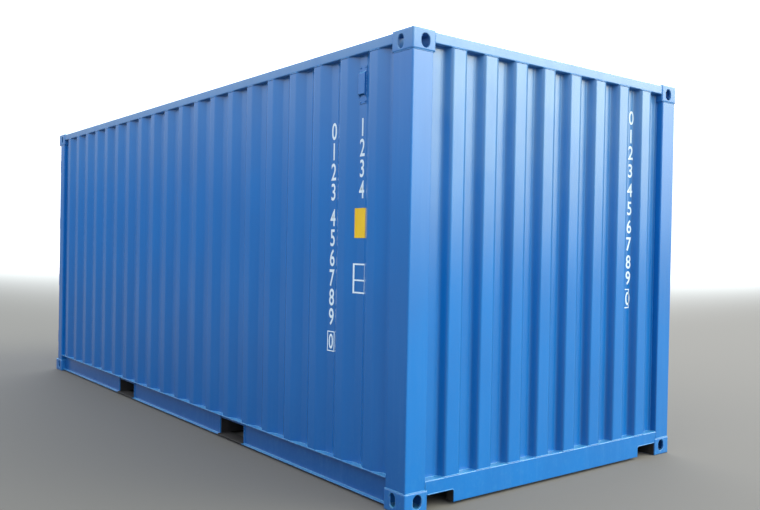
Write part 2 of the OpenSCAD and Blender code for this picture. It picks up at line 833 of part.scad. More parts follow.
// The forged blade of one hinge, from its eye across to the leaf
module hinge_blade(z) {
  lie = leaf_face - blade_t / 2;
  neck = eye_r + blade_t;
  landing = leaf_y1 - blade_t;
  path = [[pin_x, pin_y], [pin_x + 2, pin_y - neck], [lie, landing], [lie, leaf_y1 - stile_w]];
  along_z(z - blade_h / 2, z + blade_h / 2) difference() {
    union() {
      folded(path, blade_t, blade_t);
      translate([pin_x, pin_y]) circle(eye_r, $fn = hole_fn);
    }
    translate([pin_x, pin_y]) circle(pin_r + pin_clearance, $fn = hole_fn);
  }
}

module hinge_blades(side) {
  color(paint) on_side(side) for (k = [0:hinge_count - 1]) hinge_blade(hinge_z(k));
}

// One hinge pin with a head that rests on the upper lug
module hinge_pin(z) {
  reach = blade_h / 2 + gear_gap + lug_h;
  translate([pin_x, pin_y, z - reach]) cylinder(h = 2 * reach, r = pin_r, $fn = hole_fn);
  translate([pin_x, pin_y, z + reach]) cylinder(h = pin_head_h, r = (pin_r + eye_r) / 2, $fn = hole_fn);
}

module hinge_pins() {
  color(zinc) for (side = [right, left], k = [0:hinge_count - 1]) on_side(side) hinge_pin(hinge_z(k));
}

// A forged cam round the rod's end with a nose that hooks into the keeper
module cam(y, z) {
  along_z(z, z + cam_h) union() {
    translate([rod_x, y]) circle(cam_r, $fn = hole_fn);
    translate([rod_x - nose_t / 2, y]) square([nose_t, cam_nose - nose_t / 2]);
    translate([rod_x, y + cam_nose - nose_t / 2]) circle(d = nose_t, $fn = round_fn);
  }
}

// One lock rod: a tube with a solid cam at each end
module lock_rod(y) {
  along_z(sill_cam_z + cam_h, header_cam_z) translate([rod_x, y]) difference() {
    circle(rod_r, $fn = hole_fn);
    circle(rod_r - rod_t, $fn = hole_fn);
  }
  cam(y, sill_cam_z);
  cam(y, header_cam_z);
}

module lock_rods(side) {
  color(zinc) on_side(side) for (y = [rod_inner_y, rod_outer_y]) union() lock_rod(y);
}

// One keeper: a hook welded to the frame, open towards the rod, that traps the cam's nose
module cam_keeper(y, z) {
  lip_x = rod_x - nose_t / 2 - keeper_play - gear_t / 2;
  base_x = rear_face - gear_t / 2;
  near_y = y + cam_r + keeper_play;
  far_y = y + cam_nose + keeper_play + gear_t / 2;
  along_z(z + cam_h * 0.1, z + cam_h * 0.9)
    folded([[lip_x, near_y], [lip_x, far_y], [base_x, far_y], [base_x, near_y]], gear_t, gear_bend);
}

module cam_keepers() {
  color(zinc) for (side = [right, left], y = [rod_inner_y, rod_outer_y], z = [sill_cam_z, header_cam_z])
    on_side(side) cam_keeper(y, z);
}

// One bracket: a strap round the rod on two feet that lie on the door
module rod_bracket(y, z) {
  inner = rod_r + gear_gap;
  outer = inner + gear_t;
  foot = outer + bracket_foot;
  along_z(z - bracket_h / 2, z + bracket_h / 2) union() {
    difference() {
      union() {
        translate([rod_x, y]) circle(outer, $fn = hole_fn);
        translate([rod_x, y - outer]) square([leaf_face - rod_x, 2 * outer]);
      }
      translate([rod_x, y]) circle(inner, $fn = hole_fn);
      translate([rod_x, y - inner]) square([leaf_face - rod_x + cut, 2 * inner]);
    }
    for (s = [-1, 1])
      translate([leaf_face - gear_t, s > 0 ? y + inner : y - foot]) square([gear_t, foot - inner]);
  }
}

// Four brackets on each rod: two on the leaf's level members and two on the panel's crests
module rod_brackets() {
  panel_h = panel_z1 - panel_z0;
  bracket_z = [leaf_z0 + cross_rail_h / 2, panel_z0 + panel_h * low_bracket,
               panel_z0 + panel_h * high_bracket, leaf_z1 - cross_rail_h / 2];
  color(zinc) for (side = [right, left], y = [rod_inner_y, rod_outer_y], z = bracket_z)
    on_side(side) rod_bracket(y, z);
}

// One handle: a clamp round the rod and a bar that lies across the door
module lock_handle(y, z, dir) {
  bore_r = rod_r + gear_gap;
  translate([rod_x, y, z]) difference() {
    union() {
      along_z(-handle_hub_h / 2, handle_hub_h / 2) circle(bore_r + gear_t, $fn = hole_fn);
      along_x(-handle_t / 2, handle_t / 2) scale([dir, 1])
        rounded([rod_r, -handle_bar / 2], [handle_l, handle_bar / 2], handle_bar / 2 - 1);
    }
    along_z(-handle_hub_h, handle_hub_h) circle(bore_r, $fn = hole_fn);
  }
}

module lock_handles() {
  color(zinc) for (side = [right, left]) on_side(side) {
    lock_handle(rod_inner_y, handle_z + handle_step, 1);
    lock_handle(rod_outer_y, handle_z, -1);
  }
}

// One catch: a folded hook on the panel's middle crest that a handle rests in
module handle_catch(z) {
  rest = z - handle_bar / 2 - gear_gap - gear_t / 2;
  lip = rod_x - handle_t / 2 - keeper_play / 2 - gear_t / 2;
  back = leaf_face - gear_t / 2;
  half = door_crest / 2 - door_bend;
  along_y(panel_mid - half, panel_mid + half)
    folded([[lip, z], [lip, rest], [back, rest], [back, z + handle_bar]], gear_t, gear_bend);
}

module handle_catches() {
  color(zinc) for (side = [right, left], z = [handle_z, handle_z + handle_step])
    on_side(side) handle_catch(z);
}

// A ventilator: a plate in the wall's valley with a hood that slopes at the top and opens below
module ventilator() {
  face = rail_y1 - side_depth;
  front = face + vent_out;
  z1 = rail_z0 - vent_drop;
  z0 = z1 - vent_h;
  top = z1 - vent_lip;
  bottom = z0 + vent_lip;
  plate_w = side_valley - 2 * vent_clearance;
  difference() {
    union() {
      block([vent_x - plate_w / 2, face, z0], [vent_x + plate_w / 2, face + vent_t, z1]);
      along_x(vent_x - vent_w / 2, vent_x + vent_w / 2)
        polygon([[face, top], [front, top - vent_fall], [front, bottom + vent_mouth], [face, bottom]]);
    }
    along_x(vent_x - vent_w / 2 + vent_t, vent_x + vent_w / 2 - vent_t)
      polygon([[face + vent_t, top - 2 * vent_t], [front - vent_t, top - vent_fall - vent_t],
               [front - vent_t, bottom - cut], [face + vent_t, bottom - cut]]);
  }
}

module ventilators() {
  color(paint) for (side = [right, left]) on_side(side) ventilator();
}

corner_fitting(1, right, false);  // fitting_front_right_bottom
corner_fitting(1, left, false);  // fitting_front_left_bottom
corner_fitting(-1, right, false);  // fitting_rear_right_bottom
corner_fitting(-1, left, false);  // fitting_rear_left_bottom
corner_fitting(1, right, true);  // fitting_front_right_top
corner_fitting(1, left, true);  // fitting_front_left_top
corner_fitting(-1, right, true);  // fitting_rear_right_top
corner_fitting(-1, left, true);  // fitting_rear_left_top
front_post(right);  // front_post_right
front_post(left);  // front_post_left
rear_post(right);  // rear_post_right
rear_post(left);  // rear_post_left
front_top_rail();
front_sill();
door_header();
door_sill();
top_rail_side(right);  // top_rail_right
top_rail_side(left);  // top_rail_left
bottom_rail(right);  // bottom_rail_right
bottom_rail(left);  // bottom_rail_left
side_wall(right);  // side_wall_right
side_wall(left);  // side_wall_left
front_wall();
roof_panel();
roof_end_plates();
cross_members();
fork_pockets();
floor_boards();
floor_hat_rail();
door_frame(right);  // door_frame_right
door_frame(left);  // door_frame_left
door_panel(right);  // door_panel_right
door_panel(left);  // door_panel_left
door_seal(right);  // door_seal_right
door_seal(left);  // door_seal_left
hinge_blades(right);  // hinge_blades_right
hinge_blades(left);  // hinge_blades_left
hinge_pins();
lock_rods(right);  // lock_rods_right
lock_rods(left);  // lock_rods_left
rod_brackets();
lock_handles();
handle_catches();
cam_keepers();
ventilators();
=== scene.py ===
# %% [markdown]
# # A freight container, dressed and lit
#
# The steel parts of the container arrive as a fixed frame: every post, rail, wall and fitting already has its
# real size and place. This lesson gives them their finish, adds what a welder and a painter would leave on
# them, and sets up the camera and light for a photograph of the result. Nothing in the frame is moved.
# Lengths are metres, +X points to the blind front end, -Y is the side that the camera sees, and Z = 0 is the
# ground.

# %% Load the frame
import json
import math

import bpy
from mathutils import Matrix, Vector


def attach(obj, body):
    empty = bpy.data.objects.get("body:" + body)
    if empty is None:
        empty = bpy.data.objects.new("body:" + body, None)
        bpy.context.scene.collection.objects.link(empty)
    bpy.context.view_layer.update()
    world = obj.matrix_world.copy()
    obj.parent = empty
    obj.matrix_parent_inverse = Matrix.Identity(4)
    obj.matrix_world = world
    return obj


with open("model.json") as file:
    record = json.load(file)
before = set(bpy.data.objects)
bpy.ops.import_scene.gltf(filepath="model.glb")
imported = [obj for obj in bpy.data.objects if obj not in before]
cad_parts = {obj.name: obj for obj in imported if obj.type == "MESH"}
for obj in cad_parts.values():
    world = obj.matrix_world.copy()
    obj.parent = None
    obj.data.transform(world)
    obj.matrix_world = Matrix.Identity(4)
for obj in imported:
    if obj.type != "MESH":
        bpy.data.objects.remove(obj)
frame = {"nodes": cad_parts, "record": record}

scene = bpy.context.scene
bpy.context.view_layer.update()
print("nodes in the frame:", len(frame["nodes"]))

# %% [markdown]
# ## The camera
#
# The photographer stood a few steps from the near corner and held the camera at chest height. Its place,
# heading and focal length could be found by trial and error. They come instead from a fit: the known size of
# the container was matched to the corners seen in the picture, so the lens, the place and the small tilt of
# the hand all follow from the real object.

# %% Place the camera
PHOTO_WIDTH = 760
SENSOR_WIDTH = 36.0
FOCAL_LENGTH_PX = 814.57
CAMERA_PLACE = Vector((6.3066, -3.9749, 1.4278))
HEADING, LIFT, TILT = 2.478, -0.0106, 0.0186


def aim(turn, rise):
    """The direction at an angle round from +X and an angle up, both in radians."""
    return Vector((math.cos(rise) * math.cos(turn), math.cos(rise) * math.sin(turn), math.sin(rise)))


ahead = aim(HEADING, LIFT)
level_right = ahead.cross(Vector((0, 0, 1))).normalized()
level_up = level_right.cross(ahead)
camera_right = level_right * math.cos(TILT) + level_up * math.sin(TILT)
camera_up = level_up * math.cos(TILT) - level_right * math.sin(TILT)

lens = bpy.data.cameras.new("camera")
lens.sensor_width = SENSOR_WIDTH
lens.lens = SENSOR_WIDTH * FOCAL_LENGTH_PX / PHOTO_WIDTH
camera = bpy.data.objects.new("camera", lens)
camera.matrix_world = Matrix.Translation(CAMERA_PLACE) @ Matrix(
    (camera_right, camera_up, -ahead)).transposed().to_4x4()
scene.collection.objects.link(camera)
scene.camera = camera
print("lens in millimetres:", round(lens.lens, 2))

# %% [markdown]
# ## Floor and light
#
# Outdoors, an overcast sky does two jobs. It lights the container softly from above, and it is mirrored in
# the paint: the upper half of each wall shows bright sky, the lower half shows darker ground. Lamps would
# show in the paint as hard patches. So the light is the world's background, a dome that is dim at the
# horizon, brighter higher up, and brightest in two warm patches in front of the blind end. The floor is plain
# and pale. It is a little darker beside the container's shaded side, and turns white far behind it to meet
# the backdrop.

# %% Helpers for building node trees


def add_node(tree, kind, inputs=None, **settings):
    """A new node with its settings, and its inputs set by name or number."""
    node = tree.nodes.new(kind)
    for name, value in settings.items():
        setattr(node, name, value)
    for key, value in (inputs or {}).items():
        connect(tree, value, node.inputs[key])
    return node


def connect(tree, source, socket):
    """Links a node's output to a socket, or sets the socket to a plain value."""
    if isinstance(source, bpy.types.NodeSocket):
        tree.links.new(source, socket)
    else:
        socket.default_value = source


# %% Helpers for sums and masks


def calculate(tree, operation, *values):
    """The result of one Math node."""
    node = add_node(tree, "ShaderNodeMath", operation=operation)
    for socket, value in zip(node.inputs, values):
        connect(tree, value, socket)
    return node.outputs[0]


def product(tree, result, *factors):
    """Several values multiplied."""
    for factor in factors:
        result = calculate(tree, "MULTIPLY", result, factor)
    return result


def dot(tree, first, second):
    """How far two directions agree: 1 along each other, 0 at a right angle."""
    node = add_node(tree, "ShaderNodeVectorMath", {0: first, 1: second}, operation="DOT_PRODUCT")
    return node.outputs["Value"]


def remap(tree, value, low, high, out_low=0.0, out_high=1.0):
    """A value moved from one range to another and held inside it."""
    node = add_node(tree, "ShaderNodeMapRange", interpolation_type="SMOOTHSTEP")
    for socket, number in zip(node.inputs, (value, low, high, out_low, out_high)):
        connect(tree, number, socket)
    return node.outputs[0]


def split(tree, vector):
    """The X, Y and Z of a vector."""
    return add_node(tree, "ShaderNodeSeparateXYZ", {0: vector}).outputs


# %% Colours and places of the light
SKY_COLOR = (0.90, 0.97, 1.06, 1.0)
HAZE_COLOR = (1.0, 1.0, 0.78, 1.0)
KEY_COLOR = (1.0, 1.0, 0.74, 1.0)
GROUND_COLOR = (0.20, 0.20, 0.20, 1.0)
HORIZON_SKY, HIGH_SKY, ZENITH_LOSS = 0.27, 2.4, 1.5
HAZE_GLOW, KEY_GLOW, BACKDROP_GLOW = (0.84, 1.0, 5.2), (0.75, 1.0, 1.9), (0.70, 0.90, 1.1)

haze, key, behind = (aim(math.radians(turn), math.radians(rise))
                     for turn, rise in ((50.0, 25.0), (15.0, 42.0), (142.0, 0.0)))
print("brightest patch of the sky:", [round(c, 2) for c in haze])

# %% The dome of light
world = bpy.data.worlds.new("studio dome")
scene.world = world
world.use_nodes = True
dome = world.node_tree
dome.nodes.clear()
direction = add_node(dome, "ShaderNodeTexCoord").outputs["Generated"]
height = split(dome, direction)["Z"]


def lobe(toward, edge, middle, brightness):
    """A soft patch of light round one direction, from the cosine at its edge to the one at its middle."""
    return remap(dome, dot(dome, direction, toward), edge, middle, 0.0, brightness)


above = remap(dome, height, -0.05, -0.04)
rising = remap(dome, height, 0.0, 0.45, HORIZON_SKY, HIGH_SKY)
zenith = remap(dome, height, 0.55, 1.0, 0.0, ZENITH_LOSS)
even_sky = calculate(dome, "ADD", calculate(dome, "SUBTRACT", rising, zenith), lobe(behind, *BACKDROP_GLOW))
layers = ((SKY_COLOR, product(dome, even_sky, above)),
          (HAZE_COLOR, product(dome, lobe(haze, *HAZE_GLOW), above)),
          (KEY_COLOR, lobe(key, *KEY_GLOW)),
          (GROUND_COLOR, calculate(dome, "SUBTRACT", 1.0, above)))
light = None
for color, strength in layers:
    layer = add_node(dome, "ShaderNodeBackground", {"Color": color, "Strength": strength}).outputs[0]
    light = add_node(dome, "ShaderNodeAddShader", {0: light, 1: layer}).outputs[0] if light else layer
add_node(dome, "ShaderNodeOutputWorld", {"Surface": light})
print("layers of light on the dome:", len(layers))

# %% Helpers for finishes and plain meshes


def blend_colors(tree, factor, first, second):
    """A mix of two colours by a mask."""
    node = add_node(tree, "ShaderNodeMix", data_type="RGBA")
    for number, value in ((0, factor), (6, first), (7, second)):
        connect(tree, value, node.inputs[number])
    return node.outputs[2]


def object_point(tree):
    """The place of a point on the object."""
    return add_node(tree, "ShaderNodeTexCoord").outputs["Object"]


def new_finish(name):
    """A new material, its node tree and its shader."""
    material = bpy.data.materials.new(name)
    material.use_nodes = True
    return material, material.node_tree, material.node_tree.nodes["Principled BSDF"]


def plain_mesh(name, points, faces, edges=()):
    """A mesh object from points, faces and edges, linked into the scene."""
    mesh = bpy.data.meshes.new(name)
    mesh.from_pydata([tuple(p) for p in points], list(edges), list(faces))
    mesh.update()
    piece = bpy.data.objects.new(name, mesh)
    scene.collection.objects.link(piece)
    return piece


# %% The floor
FLOOR_HALF_SIZE = 400.0
SHADY_FLOOR = (0.125, 0.119, 0.110, 1.0)
PALE_FLOOR = (0.162, 0.150, 0.138, 1.0)
FAR_FLOOR = (0.085, 0.090, 0.096, 1.0)
BACKDROP_FLOOR = (0.62, 0.62, 0.62, 1.0)
LIT_SIDE = (0.5, 1.0, 0.0)
SHADE_EDGE, FAR_RANGE, BACKDROP_WIDTH, BACKDROP_RANGE = (-1.0, 2.0), (12.0, 70.0), (0.72, 0.90), (5.0, 42.0)


corners = [(-1, -1), (1, -1), (1, 1), (-1, 1)]
floor = plain_mesh("studio_floor", [(FLOOR_HALF_SIZE * x, FLOOR_HALF_SIZE * y, 0) for x, y in corners],
                   [(0, 1, 2, 3)])
floor_finish, tree, shader = new_finish("pale floor")
place = object_point(tree)
toward_lit_side, toward_back = dot(tree, place, LIT_SIDE), dot(tree, place, behind)
distance = add_node(tree, "ShaderNodeVectorMath", {0: place}, operation="LENGTH").outputs["Value"]
bearing = calculate(tree, "DIVIDE", toward_back, calculate(tree, "MAXIMUM", distance, 1.0))
backdrop = product(tree, remap(tree, bearing, *BACKDROP_WIDTH), remap(tree, toward_back, *BACKDROP_RANGE))
tone = blend_colors(tree, remap(tree, toward_lit_side, *SHADE_EDGE), SHADY_FLOOR, PALE_FLOOR)
tone = blend_colors(tree, remap(tree, distance, *FAR_RANGE), tone, FAR_FLOOR)
connect(tree, blend_colors(tree, backdrop, tone, BACKDROP_FLOOR), shader.inputs["Base Color"])
shader.inputs["Roughness"].default_value = 0.9
floor.data.materials.append(floor_finish)
scene.view_settings.view_transform = "Standard"
print("the floor is", 2 * FLOOR_HALF_SIZE, "metres wide")

# %% [markdown]
# ## Effects that several finishes share
#
# Steel that stands outdoors shows the same few things everywhere: edges that were rounded and rubbed, dust on
# whatever faces the sky, streaks where rain ran down, paint that is never quite smooth, and sheets that are a
# little wavy. Some of these colours are painted light as well. The rubbed edges and the dust on the tops are
# lighter than wear and dust alone would make them, a painted highlight. The paint is paler high up, painted
# light of the bright sky, and darker low on the long sides, painted shade. Each effect is built once as a
# node group and then placed in every finish with its own values. The groups only put out masks, heights and
# normals. The shader stays in the material, where its plain numbers can be read.

# %% Groups of shader nodes


def new_group(name, inputs, outputs):
    """An empty shader group with its named sockets, and the nodes at its two ends."""
    tree = bpy.data.node_groups.new(name, "ShaderNodeTree")
    for label, value in inputs.items():
        tree.interface.new_socket(label, in_out="INPUT", socket_type="NodeSocketFloat").default_value = value
    for label, kind in outputs.items():
        tree.interface.new_socket(label, in_out="OUTPUT", socket_type=kind)
    print("group", name, "takes", list(inputs), "and gives", list(outputs))
    return tree, add_node(tree, "NodeGroupInput").outputs, add_node(tree, "NodeGroupOutput").inputs


def use_group(tree, group, **inputs):
    """Places a group in a tree and returns its outputs."""
    node = add_node(tree, "ShaderNodeGroup", node_tree=group)
    for label, value in inputs.items():
        connect(tree, value, node.inputs[label.replace("_", " ")])
    return node.outputs


def noise(tree, scale, detail=3.0, stretch=(1, 1, 1), roughness=0.5):
    """Noise from 0 to 1 on Object coordinates, stretched along an axis if asked."""
    spread = add_node(tree, "ShaderNodeMapping", {"Vector": object_point(tree), "Scale": stretch}).outputs[0]
    return add_node(tree, "ShaderNodeTexNoise", {"Vector": spread, "Scale": scale, "Detail": detail,
                                                 "Roughness": roughness}).outputs[0]


def facing(tree):
    """The direction that the flat surface faces."""
    return add_node(tree, "ShaderNodeNewGeometry").outputs["Normal"]


FACTOR, NORMAL = "NodeSocketFloat", "NodeSocketVector"

# %% Rounded and rubbed edges, which the blue finishes also light as a painted highlight
tree, given, out = new_group("edge_wear", {"Radius": 0.003, "Wear": 0.5},
                             {"Edge": FACTOR, "Rounded": NORMAL})
rounded = add_node(tree, "ShaderNodeBevel", {"Radius": given["Radius"]}, samples=4).outputs[0]
edge = remap(tree, dot(tree, rounded, facing(tree)), 0.995, 0.86)
patchy = remap(tree, noise(tree, 38.0, 4.0), 0.62, 0.40)
connect(tree, product(tree, edge, patchy, given["Wear"]), out["Edge"])
connect(tree, rounded, out["Rounded"])
edge_group = tree

# %% Dust that settles, and splashes near the ground
SPLASH_TOP, SPLASH_LOW = 0.55, 0.02

tree, given, out = new_group("dust", {"Settled": 0.6, "Splashed": 0.3}, {"Dust": FACTOR})
upward = split(tree, facing(tree))["Z"]
cloudy = remap(tree, noise(tree, 14.0, 4.0), 0.3, 0.62, 0.45, 1.0)
settled = product(tree, remap(tree, upward, 0.35, 0.85), cloudy, given["Settled"])
low_down = remap(tree, split(tree, object_point(tree))["Z"], SPLASH_TOP, SPLASH_LOW)
drops = remap(tree, noise(tree, 55.0, 5.0, (1, 1, 0.6)), 0.48, 0.72)
splashed = product(tree, low_down, drops, given["Splashed"])
connect(tree, calculate(tree, "MAXIMUM", settled, splashed), out["Dust"])
dust_group = tree

# %% Streaks of rain, the paint's skin and the waves of thin sheet
tree, given, out = new_group("streaks", {"Amount": 0.5}, {"Streak": FACTOR})
runs = remap(tree, noise(tree, 26.0, 4.0, (1, 1, 0.035), 0.6), 0.42, 0.78)
fading = remap(tree, noise(tree, 1.1, 2.0), 0.35, 0.65)
connect(tree, product(tree, runs, fading, given["Amount"]), out["Streak"])
streak_group = tree

tree, given, out = new_group("paint_skin", {"Grain": 500.0, "Depth": 0.00002, "Wave": 0.0},
                             {"Height": FACTOR, "Mottle": FACTOR})
peel = product(tree, noise(tree, given["Grain"], 2.0), given["Depth"])
wave = product(tree, noise(tree, 2.6, 1.5, (1, 1, 0.6)), given["Wave"])
connect(tree, calculate(tree, "ADD", peel, wave), out["Height"])
connect(tree, noise(tree, 3.0, 4.0, (1, 1, 0.5)), out["Mottle"])
skin_group = tree

# %% Painted light high up, and painted shade low on the long sides
# Painted light: the paint turns paler towards the top, a painted highlight of the bright sky.
tree, given, out = new_group("bleached", {"From": 2.44, "To": 2.56, "Amount": 0.3}, {"Top Light": FACTOR})
up = split(tree, object_point(tree))["Z"]
high_up = remap(tree, up, given["From"], given["To"])
patchy = remap(tree, noise(tree, 7.0, 4.0, (1, 1, 0.5)), 0.25, 0.65, 0.6, 1.0)
connect(tree, product(tree, high_up, patchy, given["Amount"]), out["Top Light"])
bleach_group = tree

# Painted shade: darker towards the bottom, on faces that look along the long sides.
tree, given, out = new_group("road_film", {"From": 1.9, "To": 0.1, "Amount": 0.5}, {"Low Shade": FACTOR})
up = split(tree, object_point(tree))["Z"]
low_down = remap(tree, up, given["From"], given["To"])
across = split(tree, facing(tree))["Y"]
sideways = remap(tree, calculate(tree, "ABSOLUTE", across), 0.6, 0.85)
connect(tree, product(tree, low_down, sideways, given["Amount"]), out["Low Shade"])
film_group = tree

# %% [markdown]
# ## The soft bends of a pressed sheet
#
# A press folds the walls over round tools, so light slides round each bend of a flute and doesn't break off
# at a line. The frame's bends are real but have few faces, and its mesh is left as it is. A bevel node can't
# round a bend this wide either. But the flutes repeat at a fixed pitch, so the place along the wall alone
# says where the nearest bend is, and how far the sheet leans there. One group works out that lean, and a
# function turns it into a normal for a wall that runs along X or along Y.

# %% The lean of the sheet at a place along the wall
bend_group, given, out = new_group(
    "pressed_bends", {"Place": 0.0, "Pitch": 0.283, "Crest": 0.074, "Slope": 0.068, "Depth": 0.036,
                      "Reach": 0.008}, {"Lean": FACTOR, "Upright": FACTOR})


def bend_math(operation, *values):
    """The result of one Math node in this group."""
    return calculate(bend_group, operation, *values)


half_pitch = bend_math("MULTIPLY", given["Pitch"], 0.5)
from_crest = bend_math("WRAP", bend_math("ADD", given["Place"], half_pitch), half_pitch,
                       bend_math("MULTIPLY", given["Pitch"], -0.5))
off = bend_math("ABSOLUTE", from_crest)
angle = bend_math("ARCTAN2", given["Depth"], given["Slope"])
short_reach = bend_math("MULTIPLY", given["Reach"], bend_math("COSINE", angle))
upper = bend_math("MULTIPLY", given["Crest"], 0.5)
lower = bend_math("ADD", upper, given["Slope"])
entering = remap(bend_group, off, bend_math("SUBTRACT", upper, given["Reach"]),
                 bend_math("ADD", upper, short_reach))
leaving = remap(bend_group, off, bend_math("SUBTRACT", lower, short_reach),
                bend_math("ADD", lower, given["Reach"]))
leaning = product(bend_group, angle, bend_math("SUBTRACT", entering, leaving), bend_math("SIGN", from_crest))
connect(bend_group, bend_math("SINE", leaning), out["Lean"])
connect(bend_group, bend_math("COSINE", leaning), out["Upright"])

# %% A normal from the lean
SAME_FACE = 0.6


def bent_normal(tree, along, flute, depth, reach):
    """The normal of a fluted wall with soft bends. Its flutes follow one another along X or along Y."""
    place, plain = split(tree, object_point(tree)), facing(tree)
    crest, slope, valley = flute
    bends = use_group(tree, bend_group, Place=place[along], Pitch=crest + 2 * slope + valley, Crest=crest,
                      Slope=slope, Depth=depth, Reach=reach)
    other = "Y" if along == "X" else "X"
    outward = product(tree, bends["Upright"], calculate(tree, "SIGN", place[other]))
    bent = add_node(tree, "ShaderNodeCombineXYZ", {along: bends["Lean"], other: outward}).outputs[0]
    agree = dot(tree, bent, plain)
    bent = add_node(tree, "ShaderNodeVectorMath", {
        0: bent, "Scale": calculate(tree, "SIGN", agree)}, operation="SCALE").outputs[0]
    usable = calculate(tree, "GREATER_THAN", calculate(tree, "ABSOLUTE", agree), SAME_FACE)
    chosen = add_node(tree, "ShaderNodeMix", {"Factor": usable, 4: plain, 5: bent}, data_type="VECTOR")
    return chosen.outputs[1]


# %% [markdown]
# ## Blue paint, bare coatings and zinc
#
# Every coated steel finish here is one recipe with other numbers: a base colour that drifts a little, painted
# light high up and painted shade low down, streaks and dust over it, rubbed edges with another colour that is
# also a painted highlight on the blue finishes, a roughness that is never even, and a bump. So the recipe is
# one function. Fluted walls get waves and soft bends, castings get a coarse skin and more wear, the rails
# near the road get more painted shade, and the black coating under the floor is thick and dull.

# %% Colours, and the wiring of a finish


def rgb(red, green, blue):
    """A colour given in sRGB from 0 to 255, as a shader wants it."""
    def linear(level):
        level = level / 255
        return level / 12.92 if level <= 0.04045 else ((level + 0.055) / 1.055) ** 2.4
    return (linear(red), linear(green), linear(blue), 1.0)


def wire_finish(material, tree, shader, color, dullness, height, distance, surface=None):
    """Puts a colour, a roughness and a bump on a shader. The bump lies on the given normals, if any."""
    bump = add_node(tree, "ShaderNodeBump", {"Strength": 1.0, "Distance": distance, "Height": height})
    if surface:
        connect(tree, surface, bump.inputs["Normal"])
    for source, socket in ((color, "Base Color"), (dullness, "Roughness"), (bump.outputs[0], "Normal")):
        connect(tree, source, shader.inputs[socket])
    print("finish", material.name, "has", len(tree.nodes), "nodes")


# %% The recipe for coated steel
# The dust colour is a light cyan: dust, and a painted highlight on faces that look at the sky.
DUST_AND_TOP_HIGHLIGHT = rgb(112, 194, 200)
# A dark blue for painted shade low on the long sides, and a pale blue for painted light high up.
LOW_SHADE_BLUE = (0.003, 0.050, 0.190, 1.0)
TOP_LIGHT_BLUE = (0.26, 0.44, 0.54, 1.0)
DULL_DUST, DULL_MOTTLE = 0.45, 0.10


def coated_steel(name, base, deep, worn, roughness, ior=1.5, grain=500.0, depth=0.00002, wave=0.0,
                 edge=0.003, wear=0.5, settled=0.5, splashed=0.25, streak=0.4, metallic=0.0, dust=DUST_AND_TOP_HIGHLIGHT,
                 bleach=0.0, sun_from=2.44, film=0.0, bends=None):
    """A finish for painted or zinc-coated steel. Colours are linear RGBA tuples, lengths are metres."""
    material, tree, shader = new_finish(name)
    skin = use_group(tree, skin_group, Grain=grain, Depth=depth, Wave=wave)
    edges = use_group(tree, edge_group, Radius=edge, Wear=wear)
    runs = use_group(tree, streak_group, Amount=streak)["Streak"]
    dusty = use_group(tree, dust_group, Settled=settled, Splashed=splashed)["Dust"]
    color = blend_colors(tree, remap(tree, skin["Mottle"], 0.3, 0.7), base, deep)
    # Painted light: the paint turns paler towards the top.
    if bleach > 0:
        sun = use_group(tree, bleach_group, From=sun_from, To=2.58, Amount=bleach)["Top Light"]
        color = blend_colors(tree, sun, color, TOP_LIGHT_BLUE)
    # Painted shade: the paint turns darker towards the bottom on the long sides.
    if film > 0:
        color = blend_colors(tree, use_group(tree, film_group, Amount=film)["Low Shade"], color, LOW_SHADE_BLUE)
    # Streaks, dust and rubbed edges. On the blue finishes the dust and edge colours are light enough to be a
    # painted highlight as well.
    for mask, over in ((runs, worn), (dusty, dust), (edges["Edge"], worn)):
        color = blend_colors(tree, mask, color, over)
    dull = calculate(tree, "ADD", product(tree, dusty, DULL_DUST), product(tree, skin["Mottle"], DULL_MOTTLE))
    dull = calculate(tree, "ADD", dull, roughness - DULL_MOTTLE / 2)
    surface = bent_normal(tree, *bends) if bends else edges["Rounded"]
    wire_finish(material, tree, shader, color, dull, skin["Height"], 1.0, surface)
    shader.inputs["IOR"].default_value = ior
    shader.inputs["Metallic"].default_value = metallic
    return material


# %% The blue finishes
BLUE = (0.002, 0.145, 0.470, 1.0)
DEEP_BLUE = (0.002, 0.133, 0.437, 1.0)
# The rubbed colours below are paler than rubbed paint alone: wear, and a painted highlight on the edges.
SHEET_WEAR_AND_HIGHLIGHT = (0.085, 0.235, 0.490, 1.0)
RAIL_WEAR_AND_HIGHLIGHT, CASTING_WEAR_AND_HIGHLIGHT = rgb(120, 175, 224), rgb(128, 172, 214)
PAINT_IOR = 1.62
SIDE_FLUTE, SIDE_DEPTH = (0.074, 0.068, 0.073), 0.036
FRONT_FLUTE, FRONT_DEPTH = (0.110, 0.018, 0.104), 0.045


def blue_steel(name, worn, roughness, **values):
    """Coated steel in the container's own blue."""
    return coated_steel(name, BLUE, DEEP_BLUE, worn, roughness, PAINT_IOR, **values)


# The blind end turns much paler from 1.1 m up, painted light of the bright sky. All walls take painted shade
# low on faces along the long sides.
sheet_paint, side_paint, front_paint = (
    blue_steel(name, SHEET_WEAR_AND_HIGHLIGHT, 0.24, wave=0.0010, edge=0.004, wear=0.35, streak=0.05, settled=0.3,
               splashed=0.02, film=0.45, bleach=bleach, sun_from=sun_from, bends=bends)
    for name, bleach, sun_from, bends in (
        ("sheet_paint", 0.05, 1.7, None),
        ("side_paint", 0.08, 1.7, ("X", SIDE_FLUTE, SIDE_DEPTH, 0.012)),
        ("front_paint", 0.28, 1.1, ("Y", FRONT_FLUTE, FRONT_DEPTH, 0.021))))
